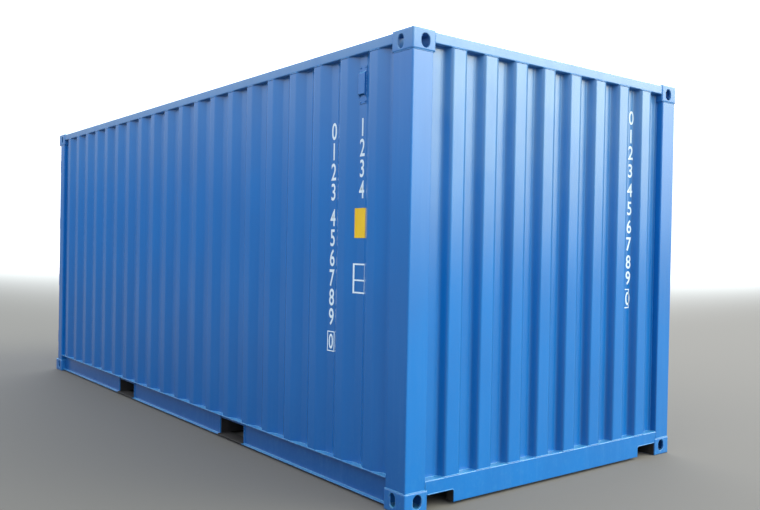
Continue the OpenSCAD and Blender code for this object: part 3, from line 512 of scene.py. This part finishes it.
# The bottom rails take more painted shade than the others.
rail_paint, shaded_low_rail_paint = (
    blue_steel(name, RAIL_WEAR_AND_HIGHLIGHT, 0.24, wave=0.0003, edge=0.0035, wear=0.8, streak=0.05, settled=0.3,
               splashed=0.03, bleach=0.30, film=film)
    for name, film in (("rail_paint", 0.55), ("shaded_low_rail_paint", 0.75)))
cast_paint = blue_steel("cast_paint", CASTING_WEAR_AND_HIGHLIGHT, 0.36, grain=230.0, depth=0.00022, edge=0.006, wear=0.9,
                        streak=0.08, settled=0.35, splashed=0.1, bleach=0.25, film=0.5)
bead_paint = blue_steel("bead_paint", CASTING_WEAR_AND_HIGHLIGHT, 0.33, grain=300.0, depth=0.0001, edge=0.001, wear=0.2,
                        settled=0.5, streak=0.1, splashed=0.1)

# %% The coating under the floor, and zinc
underside_coating = coated_steel("underside_coating", rgb(34, 33, 34), rgb(24, 24, 26), rgb(70, 66, 60), 0.62,
                                 grain=160.0, depth=0.0004, wear=0.3, settled=0.4, splashed=0.3,
                                 dust=rgb(62, 58, 54))
zinc = coated_steel("dull_zinc", rgb(150, 156, 160), rgb(112, 118, 124), rgb(190, 194, 196), 0.42,
                    grain=90.0, depth=0.00005, edge=0.002, wear=0.6, streak=0.5, metallic=0.55,
                    dust=rgb(140, 134, 124))

# %% [markdown]
# ## Plywood and rubber
#
# The floor is hard plywood, oiled on top and coated black below. Its grain runs along each board. Rings of
# growth cut at a low angle give long bands, and pores give short dark dashes, so two stretched noises do it.
# The door seals are black rubber, dull, with a fine bloom of chalk. Neither shares the recipe for steel, but
# both end in the same three sockets, so the same helper wires them.

# %% Plywood floor
BOARD_UNDERSIDE = 0.144
LIGHT_WOOD, DARK_WOOD, PORE = rgb(150, 108, 70), rgb(112, 74, 46), rgb(66, 44, 30)
SCUFFED_WOOD, BLACK_COAT = rgb(142, 132, 118), rgb(30, 29, 29)

plywood, tree, shader = new_finish("floor_plywood")
bands = noise(tree, 9.0, 4.0, (0.12, 1.6, 1.0), 0.6)
pores = noise(tree, 260.0, 2.0, (0.05, 1.0, 1.0))
wood = blend_colors(tree, remap(tree, bands, 0.32, 0.68), LIGHT_WOOD, DARK_WOOD)
wood = blend_colors(tree, remap(tree, pores, 0.62, 0.75, 0.0, 0.5), wood, PORE)
scuffed = remap(tree, noise(tree, 2.2, 6.0, (0.4, 1.0, 1.0), 0.7), 0.5, 0.72, 0.0, 0.45)
wood = blend_colors(tree, scuffed, wood, SCUFFED_WOOD)
up = split(tree, object_point(tree))["Z"]
underneath = remap(tree, up, BOARD_UNDERSIDE + 0.001, BOARD_UNDERSIDE - 0.001)
wire_finish(plywood, tree, shader, blend_colors(tree, underneath, wood, BLACK_COAT),
            calculate(tree, "ADD", 0.42, product(tree, scuffed, 0.6)), pores, 0.0003)

# %% Seal rubber
rubber, tree, shader = new_finish("seal_rubber")
bloom = remap(tree, noise(tree, 30.0, 5.0), 0.4, 0.75, 0.0, 0.5)
wire_finish(rubber, tree, shader, blend_colors(tree, bloom, rgb(20, 20, 21), rgb(58, 57, 55)),
            calculate(tree, "ADD", 0.55, product(tree, bloom, 0.4)), noise(tree, 420.0), 0.0002)

# %% [markdown]
# ## Dress the frame
#
# Every node of the frame names the slot that it is painted from, so most get their finish from a table. A few
# need their own and are picked by name: cast fittings, fluted sheets, and the rails nearest the road, which
# get more painted shade.

# %% Give every node of the frame its finish
BY_SLOT = {"blue_paint": rail_paint, "underside_coating": underside_coating, "floor_plywood": plywood,
           "seal_rubber": rubber, "zinc_hardware": zinc}
BY_NAME = {"fitting": cast_paint, "side_wall": side_paint, "front_wall": front_paint,
           "roof_panel": sheet_paint, "door_panel": sheet_paint, "bottom_rail": shaded_low_rail_paint}
slot_of = {row["node"]: row["material_slot"] for row in frame["record"]["subparts"]}
used = {}
for name, node in frame["nodes"].items():
    special = [paint for start, paint in BY_NAME.items() if name.startswith(start)]
    finish = special[0] if special else BY_SLOT[slot_of[name]]
    for material_slot in node.material_slots:
        material_slot.material = finish
    used[finish.name] = used.get(finish.name, 0) + 1
print("nodes by finish:", used)

# %% [markdown]
# ## Weld beads
#
# The container is welded from pressed sheet and plate, so a bead runs along every seam: down both sides of
# each post, round the ends of the rails, round the corner fittings, and along the flutes where the sheet
# meets its rail. A bead is a rope of small overlapping ripples. Modelling ripples by hand would take forever,
# and a bump map has no outline. So each seam is drawn as a plain line, and Geometry Nodes sweeps a small
# circle along it that swells and shrinks at every step. The line starts as a mesh edge, which is the easiest
# thing to write, and ends as a closed tube that is sunk into the corner.

# %% Geometry Nodes helpers
FLOAT, COUNT, FINISH = "NodeSocketFloat", "NodeSocketInt", "NodeSocketMaterial"


def new_tool(name, inputs):
    """An empty Geometry Nodes tree: geometry in, named sizes in, geometry out."""
    tree = bpy.data.node_groups.new(name, "GeometryNodeTree")
    tree.interface.new_socket("Geometry", in_out="INPUT", socket_type="NodeSocketGeometry")
    for label, (kind, value) in inputs.items():
        socket = tree.interface.new_socket(label, in_out="INPUT", socket_type=kind)
        if value is not None:
            socket.default_value = value
    tree.interface.new_socket("Geometry", in_out="OUTPUT", socket_type="NodeSocketGeometry")
    print("tool", name, "takes", list(inputs))
    return tree, add_node(tree, "NodeGroupInput").outputs, add_node(tree, "NodeGroupOutput").inputs


def end_tool(tree, geometry, finish, out):
    """Ends a tree with real geometry in place of instances, in its finish."""
    solid = add_node(tree, "GeometryNodeRealizeInstances", {"Geometry": geometry}).outputs[0]
    dressed = add_node(tree, "GeometryNodeSetMaterial", {"Geometry": solid, "Material": finish}).outputs[0]
    connect(tree, dressed, out["Geometry"])


# %% Run a tool and settle the piece


def run_tool(tree, piece, **values):
    """Runs a tree on a piece with the values given, and keeps the result as a plain mesh."""
    tool = piece.modifiers.new(tree.name, "NODES")
    tool.node_group = tree
    sockets = {item.name: item.identifier for item in tree.interface.items_tree if item.in_out == "INPUT"}
    for label, value in values.items():
        tool[sockets[label.replace("_", " ")]] = value
    bpy.context.view_layer.update()
    result = bpy.data.meshes.new_from_object(piece.evaluated_get(bpy.context.evaluated_depsgraph_get()))
    piece.modifiers.clear()
    piece.data = result
    return piece


def settle(piece):
    """Fixes a finished piece to the container's one body."""
    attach(piece, "root")
    piece.data.calc_loop_triangles()
    print(piece.name, "has", len(piece.data.loop_triangles), "triangles")


# %% The tool that lays a bead along lines
THINNEST, THICKEST = 0.75, 1.12

bead_tool, given, out = new_tool("weld_bead", {"Radius": (FLOAT, 0.0035), "Ripple": (FLOAT, 0.006),
                                               "Finish": (FINISH, None)})
line = add_node(bead_tool, "GeometryNodeMeshToCurve", {"Mesh": given["Geometry"]}).outputs[0]
steps = add_node(bead_tool, "GeometryNodeResampleCurve", {"Curve": line, "Length": given["Ripple"]},
                 mode="LENGTH").outputs[0]
ring = add_node(bead_tool, "GeometryNodeCurvePrimitiveCircle", {"Resolution": 6, "Radius": given["Radius"]})
swell = add_node(bead_tool, "FunctionNodeRandomValue", {2: THINNEST, 3: THICKEST, "Seed": 7},
                 data_type="FLOAT")
tube = add_node(bead_tool, "GeometryNodeCurveToMesh", {
    "Curve": steps, "Profile Curve": ring.outputs[0], "Scale": swell.outputs[1], "Fill Caps": True})
smooth = add_node(bead_tool, "GeometryNodeSetShadeSmooth", {"Geometry": tube.outputs[0]})
end_tool(bead_tool, smooth.outputs[0], given["Finish"], out)


def lay_beads(name, lines, radius=0.0035, ripple=0.006, finish=bead_paint):
    """Beads along open lines, each a list of points in metres."""
    points, edges = [], []
    for one in lines:
        edges += [(len(points) + k, len(points) + k + 1) for k in range(len(one) - 1)]
        points += one
    piece = plain_mesh(name, points, [], edges)
    settle(run_tool(bead_tool, piece, Radius=radius, Ripple=ripple, Finish=finish))


# %% Where the seams run
BOTH = (-1, 1)
SIDE_CREST, SIDE_VALLEY = 1.214, 1.178
FRONT_CREST, FRONT_VALLEY = 3.024, 2.979
WALL_REAR, WALL_FRONT, WALL_EDGE = -2.865, 2.858, 1.069
RAIL_TOP, RAIL_LOW, SILL_TOP, BASE_TOP = 2.583, 2.523, 0.167, 0.173
POST_LOW, POST_TOP = 0.118, 2.473
OPENING = 1.170
CAST_X, CAST_Y = 2.851, 1.057
print("the side wall runs from", WALL_REAR, "to", WALL_FRONT)

# %% Outlines of the seams


def fluted_line(start, stop, count, flute, crest, valley):
    """The outline of a fluted sheet's outer face: pairs of place along the wall and height of the flute."""
    top, slope, low = flute
    pitch = top + 2 * slope + low
    line = [(start, valley)]
    for k in range(count):
        middle = (k - (count - 1) / 2) * pitch
        line += [(middle - top / 2 - slope, valley), (middle - top / 2, crest),
                 (middle + top / 2, crest), (middle + top / 2 + slope, valley)]
    return line + [(stop, valley)]


def rail_end(inner_low, face, inner_high):
    """The outline of a top rail's end as pairs (place across the rail, z)."""
    return [(inner_low, RAIL_LOW), (face - 0.004, RAIL_LOW), (face, 2.528), (face, 2.577),
            (face - 0.005, RAIL_TOP), (inner_high, RAIL_TOP)]


def on_half(side, *points):
    """A line on the -Y or the +Y half, from points written for the +Y half."""
    return [(x, side * y, z) for x, y, z in points]


side_line = fluted_line(WALL_REAR, WALL_FRONT, 20, SIDE_FLUTE, SIDE_CREST, SIDE_VALLEY)
front_line = fluted_line(-WALL_EDGE, WALL_EDGE, 8, FRONT_FLUTE, FRONT_CREST, FRONT_VALLEY)
print("points on the outlines of the side and the front:", len(side_line), len(front_line))

# %% Beads on the two long sides
FRONT_POST = [(WALL_FRONT, SIDE_VALLEY), (WALL_FRONT, 1.207), (WALL_FRONT + 0.008, 1.215), (3.016, 1.215),
              (3.025, 1.206), (3.025, 1.075), (3.018, WALL_EDGE), (2.984, WALL_EDGE)]
REAR_POST = [(WALL_REAR, 1.208), (WALL_REAR - 0.008, 1.215), (-2.972, 1.215), (-2.980, 1.207),
             (-2.980, OPENING)]
TOP_RAIL_END = rail_end(1.159, 1.213, 1.160)
LOW_RAIL_END = [(1.168, POST_LOW - 0.002), (1.168, 0.020), (1.196, 0.018)]

for side, word in ((-1, "right"), (1, "left")):
    seams = [[(x, side * y, z) for x, y in side_line] for z in (BASE_TOP + 0.001, RAIL_LOW - 0.001)]
    seams += [on_half(side, (x, SIDE_VALLEY, BASE_TOP), (x, SIDE_VALLEY, POST_TOP))
              for x in (WALL_REAR, WALL_FRONT)]
    seams += [[(x, side * y, z) for x, y in post] for z in (POST_LOW, POST_TOP)
              for post in (FRONT_POST, REAR_POST)]
    seams += [[(x, side * y, z) for y, z in outline] for x in (-CAST_X, CAST_X)
              for outline in (TOP_RAIL_END, LOW_RAIL_END)]
    lay_beads("beads_side_" + word, seams)

# %% Beads on the front end
SILL_FACE = 3.0245
NOTCH_Y, NOTCH_Z, NOTCH_BEND = 0.857, 0.091, 0.016
FRONT_RAIL_END = rail_end(2.966, 3.023, 2.970)


def quarter_turn(y, z, bend):
    """Pairs (y, z) round the rounded upper corner of a recess in the sill."""
    return [(y + bend * (1 - math.cos(math.radians(angle))), z - bend * (1 - math.sin(math.radians(angle))))
            for angle in range(0, 91, 15)]


seams = [[(x, y, z) for y, x in front_line] for z in (SILL_TOP + 0.001, RAIL_LOW - 0.001)]
for side in BOTH:
    seams.append(on_half(side, (FRONT_VALLEY, WALL_EDGE, SILL_TOP), (FRONT_VALLEY, WALL_EDGE, POST_TOP)))
    seams.append(on_half(side, (SILL_FACE, WALL_EDGE, POST_LOW), (SILL_FACE, WALL_EDGE, SILL_TOP - 0.003),
                         (2.972, WALL_EDGE, SILL_TOP)))
    seams.append(on_half(side, (3.023, CAST_Y, 0.093), (3.024, CAST_Y, POST_LOW - 0.002)))
    rim = [(NOTCH_Y, 0.021)] + quarter_turn(NOTCH_Y, NOTCH_Z, NOTCH_BEND) + [(CAST_Y - 0.004, NOTCH_Z)]
    seams.append([(SILL_FACE, side * y, z) for y, z in rim])
    seams.append([(x, side * CAST_Y, z) for x, z in FRONT_RAIL_END])
lay_beads("beads_front", seams)

# %% Beads on the roof
ROOF_EDGE, ROOF_CORNER, ROOF_END, ROOF_CAST = 1.1845, 1.180, 2.794, 2.8505
EDGE_STOP, HEADER_STOP, HEADER_SEAMS, CAST_START = 2.849, 1.052, (-2.9515, 2.9945), 1.060
ON_RAIL, ON_PLATE = RAIL_TOP + 0.0005, RAIL_TOP + 0.0012

seams = [[(x, side * ROOF_EDGE, ON_RAIL) for x in (-EDGE_STOP, EDGE_STOP)] for side in BOTH]
seams += [[(end * ROOF_END, y, ON_PLATE) for y in (-ROOF_CORNER, ROOF_CORNER)] for end in BOTH]
seams += [[(x, y, ON_RAIL) for y in (-HEADER_STOP, HEADER_STOP)] for x in HEADER_SEAMS]
seams += [[(end * ROOF_CAST, side * y, ON_RAIL) for y in (CAST_START, ROOF_CORNER)]
          for end in BOTH for side in BOTH]
lay_beads("beads_roof", seams, radius=0.003)

# %% Beads on the door end and on the hinges
LEAF_FACE, POST_BACK, KEEPER_BACK, PANEL_FACE = -2.969, -2.9795, -2.9812, -2.9695
HINGE_LOW, HINGE_HIGH = 0.367, 2.243
BLADE_ROOT, BLADE_TIP, BLADE_RISE = 1.146, 1.0575, 0.041
RODS, KEEPERS, KEEPER_FEET, KEEPER_EDGES = (0.303, 0.863), (0.095, 2.455), (0.026, 0.055), (0.0062, 0.0538)
POST_ENDS = ((0.120, 0.163), (2.447, 2.471))
PANEL = [(0.108, 0.327), (1.058, 0.327), (1.058, 2.283), (0.108, 2.283), (0.108, 0.327)]

hinge_heights = [HINGE_LOW + k * (HINGE_HIGH - HINGE_LOW) / 3 for k in range(4)]
seams = []
for side in BOTH:
    seams += [[(POST_BACK, side * OPENING, z) for z in ends] for ends in POST_ENDS]
    seams += [on_half(side, (LEAF_FACE, BLADE_ROOT, z + BLADE_RISE), (LEAF_FACE, BLADE_TIP, z + BLADE_RISE),
                      (LEAF_FACE, BLADE_TIP, z - BLADE_RISE), (LEAF_FACE, BLADE_ROOT, z - BLADE_RISE))
              for z in hinge_heights]
    seams += [[(KEEPER_BACK, side * (y + foot), z + rise) for foot in KEEPER_FEET]
              for y in RODS for z in KEEPERS for rise in KEEPER_EDGES]
    seams.append([(PANEL_FACE, side * y, z) for y, z in PANEL])
lay_beads("beads_doors", seams, radius=0.003)

# %% Beads under the floor
MEMBER_LOW, MEMBER_TOP, MEMBER_FLANGE, MEMBER_SPACING = 0.020, 0.142, 0.045, 0.330
RAIL_WEB, POCKET_NEAR, POCKET_FAR, LAST_MEMBER = 1.168, 0.845, 1.205, 2.805
POCKETS, STRAP_HALF, STRAP_Z, STRAP_ENDS = (-1.025, 1.025), 0.180, 0.0215, (1.195, 1.092)


def spread(start, stop):
    """Members between two others, at up to the greatest spacing."""
    count = math.ceil((stop - start) / MEMBER_SPACING)
    return [start + (stop - start) * k / count for k in range(1, count)]


members = [(x, 1) for x in spread(-POCKET_NEAR, POCKET_NEAR)]
for end in BOTH:
    members += [(end * POCKET_NEAR, -end), (end * POCKET_FAR, end), (end * LAST_MEMBER, end)]
    members += [(end * x, end) for x in spread(POCKET_FAR, LAST_MEMBER)]
seams = [on_half(side, (x + way * MEMBER_FLANGE, RAIL_WEB - 0.001, MEMBER_LOW),
                 (x, RAIL_WEB - 0.001, MEMBER_LOW), (x, RAIL_WEB - 0.001, MEMBER_TOP - 0.001))
         for x, way in members for side in BOTH]
seams += [[(middle + end * STRAP_HALF, side * y, STRAP_Z) for y in STRAP_ENDS]
          for middle in POCKETS for side in BOTH for end in BOTH]
lay_beads("beads_under_floor", seams, radius=0.004, ripple=0.007, finish=underside_coating)

# %% [markdown]
# ## Black coating and painted shade in the sill's recesses
#
# The underside is sprayed black after the blue paint, and the spray reaches into the two recesses of the
# front sill. Seen from the camera they are dark holes with a bright rim, dark from the coating and from the
# shade inside them, so this black skin is partly painted shade. A mask on the sill's material would need the
# recess's shape again in shader nodes. It is simpler to lay a skin of coating on the lining: the lining's
# outline, drawn a little smaller, and stretched along the sill. A thin box does the same on the side of each
# corner fitting, where it is painted shade.

# %% Faces of boxes and of strips
BOX_FACES = [(0, 1, 3, 2), (4, 6, 7, 5), (0, 4, 5, 1), (2, 3, 7, 6), (0, 2, 6, 4), (1, 5, 7, 3)]


def strip_faces(start, stop):
    """The faces of a closed strip whose points, from start up to stop, come as rings of four."""
    last = stop - 4
    around = [(a + k, a + k + 4, a + (k + 1) % 4 + 4, a + (k + 1) % 4)
              for a in range(start, last, 4) for k in range(4)]
    return around + [(start, start + 1, start + 2, start + 3), (last + 3, last + 2, last + 1, last)]


# %% Coat the recesses, a black skin that is partly painted shade
COAT_NEAR, COAT_FAR, COAT_INSETS = 3.0222, 2.9675, (0.0002, 0.0008)
LINING_Y, LINING_Z, LINING_BEND, LINING_LOW = 0.859, 0.089, 0.014, 0.0175
CAST_BACK, CAST_LOW, CAST_HIGH = 2.866, 0.004, 0.0870


def recess_outline(inset):
    """The lining of one recess from its lower end round the bend to the fitting, as pairs (y, z)."""
    y, z = LINING_Y + inset, LINING_Z - inset
    return [(y, LINING_LOW)] + quarter_turn(y, z, LINING_BEND - inset) + [(CAST_Y - 0.001, z)]


points, faces = [], []
for side in BOTH:
    start = len(points)
    for (y0, z0), (y1, z1) in zip(*map(recess_outline, COAT_INSETS)):
        points += [(COAT_FAR, side * y0, z0), (COAT_NEAR, side * y0, z0),
                   (COAT_NEAR, side * y1, z1), (COAT_FAR, side * y1, z1)]
    shell = strip_faces(start, len(points))
    start = len(points)
    points += [(x, side * (CAST_Y - inset), z) for x in (CAST_BACK, COAT_NEAR)
               for inset in COAT_INSETS for z in (CAST_LOW, CAST_HIGH)]
    shell += [tuple(start + k for k in face) for face in BOX_FACES]
    faces += shell if side < 0 else [face[::-1] for face in shell]
coat = plain_mesh("recess_coating_and_shade", points, faces)
coat.data.materials.append(underside_coating)
settle(coat)

# %% [markdown]
# ## Bolts and screws
#
# The rod brackets are bolted through the doors, the floor boards are screwed to every cross member, and the
# ventilators hang on small screws. They are all the same thing seen from above: a head on a washer, turned to
# face away from what it holds. So one small tool puts a head at each marked point. A point carries a vector
# that says which way its head faces, and that vector turns the copy.

# %% The tool that puts a fastener on each point
SHANK_SHARE, CROWN_SHARE, CROWN_TAPER = 0.7, 0.3, 0.78

bolt_tool, given, out = new_tool("fastener", {
    "Sides": (COUNT, 6), "Radius": (FLOAT, 0.006), "Height": (FLOAT, 0.005), "Washer": (FLOAT, 0.008),
    "Washer Height": (FLOAT, 0.0015), "Finish": (FINISH, None)})


def share(label, factor):
    """A share of one of the tool's sizes."""
    return product(bolt_tool, given[label], factor)


washer = add_node(bolt_tool, "GeometryNodeMeshCylinder", {
    "Vertices": 14, "Radius": given["Washer"], "Depth": given["Washer Height"]})
head = add_node(bolt_tool, "GeometryNodeMeshCylinder", {
    "Vertices": given["Sides"], "Radius": given["Radius"], "Depth": share("Height", SHANK_SHARE)})
crown = add_node(bolt_tool, "GeometryNodeMeshCone", {
    "Vertices": given["Sides"], "Radius Bottom": given["Radius"], "Radius Top": share("Radius", CROWN_TAPER),
    "Depth": share("Height", CROWN_SHARE)})
head_middle = calculate(bolt_tool, "ADD", given["Washer Height"], share("Height", SHANK_SHARE / 2))
crown_base = calculate(bolt_tool, "ADD", given["Washer Height"], share("Height", SHANK_SHARE))
whole = add_node(bolt_tool, "GeometryNodeJoinGeometry")
for part, rise in ((washer, share("Washer Height", 0.4)), (head, head_middle), (crown, crown_base)):
    up = add_node(bolt_tool, "ShaderNodeCombineXYZ", {"Z": rise}).outputs[0]
    connect(bolt_tool, add_node(bolt_tool, "GeometryNodeTransform", {
        "Geometry": part.outputs[0], "Translation": up}).outputs[0], whole.inputs[0])
way = add_node(bolt_tool, "GeometryNodeInputNamedAttribute", {"Name": "facing"}, data_type="FLOAT_VECTOR")
turned = add_node(bolt_tool, "FunctionNodeAlignRotationToVector", {"Vector": way.outputs[0]}, axis="Z")
copies = add_node(bolt_tool, "GeometryNodeInstanceOnPoints", {
    "Points": given["Geometry"], "Instance": whole.outputs[0], "Rotation": turned.outputs[0]})
end_tool(bolt_tool, copies.outputs[0], given["Finish"], out)


# %% Fasten at marked spots


def fasten(name, spots, material_slot, **values):
    """A fastener at each spot, a pair of its place and the way that it faces."""
    piece = plain_mesh(name, [place for place, _ in spots], [])
    layer = piece.data.attributes.new("facing", "FLOAT_VECTOR", "POINT")
    layer.data.foreach_set("vector", [number for _, way in spots for number in way])
    settle(run_tool(bolt_tool, piece, **values))


# %% Bolts of the lock gear
FOOT_FACE, FOOT_BOLT, FOOT_RISE = LEAF_FACE - 0.005, 0.0293, 0.013
BRACKET_HEIGHTS = (0.252, 0.7182, 1.7353, 2.358)
CATCHES, CATCH_HEIGHTS, CATCH_RISE = (0.567, 0.599), (1.130, 1.300), 0.018

spots = [((FOOT_FACE, side * (y + foot * FOOT_BOLT), z + rise), (-1, 0, 0))
         for side in BOTH for y in RODS for z in BRACKET_HEIGHTS
         for foot in BOTH for rise in (-FOOT_RISE, FOOT_RISE)]
spots += [((FOOT_FACE, side * y, z + CATCH_RISE), (-1, 0, 0))
          for side in BOTH for y in CATCHES for z in CATCH_HEIGHTS]
fasten("lock_gear_bolts", spots, "zinc_hardware", Sides=6, Radius=0.0052, Height=0.005, Washer=0.0066,
       Washer_Height=0.0015, Finish=zinc)

# %% Screws of the ventilators
VENT_X, VENT_SCREW, VENT_HEIGHTS, VENT_WALL = 2.547, 0.024, (2.255, 2.451), SIDE_VALLEY + 0.0025

spots = [((VENT_X + step, side * VENT_WALL, z), (0, side, 0))
         for side in BOTH for step in (-VENT_SCREW, VENT_SCREW) for z in VENT_HEIGHTS]
fasten("ventilator_screws", spots, "blue_paint", Sides=10, Radius=0.0042, Height=0.0028, Washer=0.0060,
       Washer_Height=0.001, Finish=rail_paint)

# %% Screws of the floor
FLANGE_MIDDLE, FLOOR_TOP, SCREW_ROWS = 0.022, 0.170, (0.062, 0.24, 0.48, 0.72, 0.94, 1.125)

spots = [((x + way * FLANGE_MIDDLE, side * y, FLOOR_TOP), (0, 0, 1))
         for x, way in members for side in BOTH for y in SCREW_ROWS]
fasten("floor_screws", spots, "zinc_hardware", Sides=10, Radius=0.0055, Height=0.0008, Washer=0.0062,
       Washer_Height=0.0006, Finish=zinc)

# %% [markdown]
# ## Painted marks
#
# The real container carries columns of characters near the blind end of its side and on the blind end, a
# yellow patch and a white frame. This part is nobody's container, so plain counting digits and bare shapes
# stand in the same places, at the same size. The marks could be an image on the sheet. Here they are skins of
# paint, a fraction of a millimetre thick, because a mesh stays sharp at any distance. The digits come from
# the built-in font. The patches follow the flutes: each is laid along the sheet's outline, slope and all.

# %% Paint for the marks
white_paint, yellow_paint = (
    coated_steel(name, base, deep, worn, 0.42, edge=0.0008, wear=wear, streak=0.25, settled=0.3,
                 splashed=0.1)
    for name, base, deep, worn, wear in (
        ("white_paint", rgb(226, 240, 248), rgb(212, 230, 240), rgb(120, 160, 205), 0.4),
        ("yellow_paint", rgb(238, 196, 22), rgb(228, 182, 16), rgb(196, 160, 60), 0.3)))

# %% Digits from the built-in font


def flat_digit(character):
    """The points and faces of one digit as a thin plate that faces +Z."""
    letter = bpy.data.curves.new("digit", "FONT")
    letter.body, letter.extrude, letter.offset = character, 0.5, 0.012
    holder = bpy.data.objects.new("digit", letter)
    scene.collection.objects.link(holder)
    graph = bpy.context.evaluated_depsgraph_get()
    mesh = bpy.data.meshes.new_from_object(holder.evaluated_get(graph))
    bpy.data.objects.remove(holder)
    places = {}
    index = [places.setdefault(tuple(round(c, 5) for c in v.co), len(places)) for v in mesh.vertices]
    return list(places), [tuple(index[k] for k in p.vertices) for p in mesh.polygons]


def ink(points):
    """The lowest corner and the size of a flat set of points."""
    low = [min(p[k] for p in points) for k in (0, 1)]
    high = [max(p[k] for p in points) for k in (0, 1)]
    return low, [high[k] - low[k] for k in (0, 1)]


DIGITS = {character: flat_digit(character) for character in "0123456789"}
ZERO_SIZE = ink(DIGITS["0"][0])[1]
print("faces of each digit:", [len(faces) for _, faces in DIGITS.values()])

# %% Write digits on a wall
SKIN = 0.0003


def on_side(across, up, out):
    """A point on the recesses of the side wall."""
    return (across, -SIDE_VALLEY - out, up)


def on_front(across, up, out):
    """A point on the recesses of the blind end."""
    return (FRONT_VALLEY + out, across, up)


def write_column(on_wall, column, size, digits):
    """Points and faces of upright digits, one below the other, each a pair of the digit and its middle."""
    all_points, all_faces = [], []
    width, height = size
    for character, middle in digits:
        points, faces = DIGITS[character]
        low, extent = ink(points)
        scale = (width / ZERO_SIZE[0], height / extent[1])
        start = len(all_points)
        all_points += [on_wall(column + (x - low[0] - extent[0] / 2) * scale[0],
                               middle + (y - low[1] - extent[1] / 2) * scale[1],
                               SKIN * (1.2 + z)) for x, y, z in points]
        all_faces += [tuple(start + k for k in face) for face in faces]
    return all_points, all_faces


# %% Patches that follow the flutes
PATCH_BACK, PATCH_FACE = 0.0002, 0.0009


def side_depth(place):
    """How far the side wall stands out at a place along it."""
    for (a, low), (b, high) in zip(side_line, side_line[1:]):
        if a <= place <= b:
            return low + (high - low) * (place - a) / (b - a)


def side_patch(across, up):
    """A closed skin on the photographed side, between two places along it and two heights."""
    low, high = up
    points = []
    for x in [across[0]] + [a for a, _ in side_line if across[0] < a < across[1]] + [across[1]]:
        back, face = -side_depth(x) - PATCH_BACK, -side_depth(x) - PATCH_FACE
        points += [(x, back, low), (x, face, low), (x, face, high), (x, back, high)]
    return points, strip_faces(0, len(points))


# %% Frames, and pieces of paint


def framed(patch, across, up, width, height, bar):
    """Four bars round a middle, each made by the patch function."""
    left, right, low, high = across - width / 2, across + width / 2, up - height / 2, up + height / 2
    return [patch((left, right), (high - bar, high)), patch((left, right), (low, low + bar)),
            patch((left, left + bar), (low + bar, high - bar)),
            patch((right - bar, right), (low + bar, high - bar))]


def paint_mark(name, shapes, paint):
    """One piece from several sets of points and faces."""
    points, faces = [], []
    for some_points, some_faces in shapes:
        faces += [tuple(len(points) + k for k in face) for face in some_faces]
        points += some_points
    piece = plain_mesh(name, points, faces)
    piece.data.materials.append(paint)
    settle(piece)


# %% The marks on the side
LONG_COLUMN, SHORT_COLUMN = 2.264, 2.547
LONG_HEIGHTS = (2.113, 1.992, 1.870, 1.749, 1.595, 1.474, 1.354, 1.233, 1.117, 0.999)
SHORT_HEIGHTS = (2.111, 1.994, 1.874, 1.753)
BOXED_HEIGHT, FRAME_HEIGHT = 0.851, 1.240

shapes = [write_column(on_side, LONG_COLUMN, (0.050, 0.102), zip("0123456789", LONG_HEIGHTS)),
          write_column(on_side, SHORT_COLUMN, (0.046, 0.102), zip("1234", SHORT_HEIGHTS)),
          write_column(on_side, LONG_COLUMN, (0.043, 0.090), [("0", BOXED_HEIGHT)])]
shapes += framed(side_patch, LONG_COLUMN, BOXED_HEIGHT, 0.074, 0.122, 0.006)
shapes += framed(side_patch, SHORT_COLUMN, FRAME_HEIGHT, 0.112, 0.173, 0.009)
shapes.append(side_patch((2.500, 2.594), (1.225, 1.234)))
paint_mark("side_marks", shapes, white_paint)
paint_mark("side_patch", [side_patch((2.496, 2.598), (1.474, 1.646))], yellow_paint)

# %% The marks on the blind end
FRONT_COLUMN, FRONT_FRAME, FRONT_BOXED_HEIGHT = 0.772, 0.750, 1.104
FRONT_HEIGHTS = (2.331, 2.206, 2.094, 1.972, 1.841, 1.717, 1.593, 1.475, 1.353, 1.244)


def upright_bar(across, up):
    """A flat painted bar on the blind end."""
    return [on_front(y, z, out) for out in (0.7 * SKIN, 1.7 * SKIN) for y in across for z in up], BOX_FACES


shapes = [write_column(on_front, FRONT_COLUMN, (0.052, 0.092), zip("0123456789", FRONT_HEIGHTS)),
          write_column(on_front, FRONT_COLUMN, (0.046, 0.090), [("0", FRONT_BOXED_HEIGHT)])]
shapes += framed(upright_bar, FRONT_FRAME, FRONT_BOXED_HEIGHT, 0.072, 0.130, 0.006)
paint_mark("front_marks", shapes, white_paint)
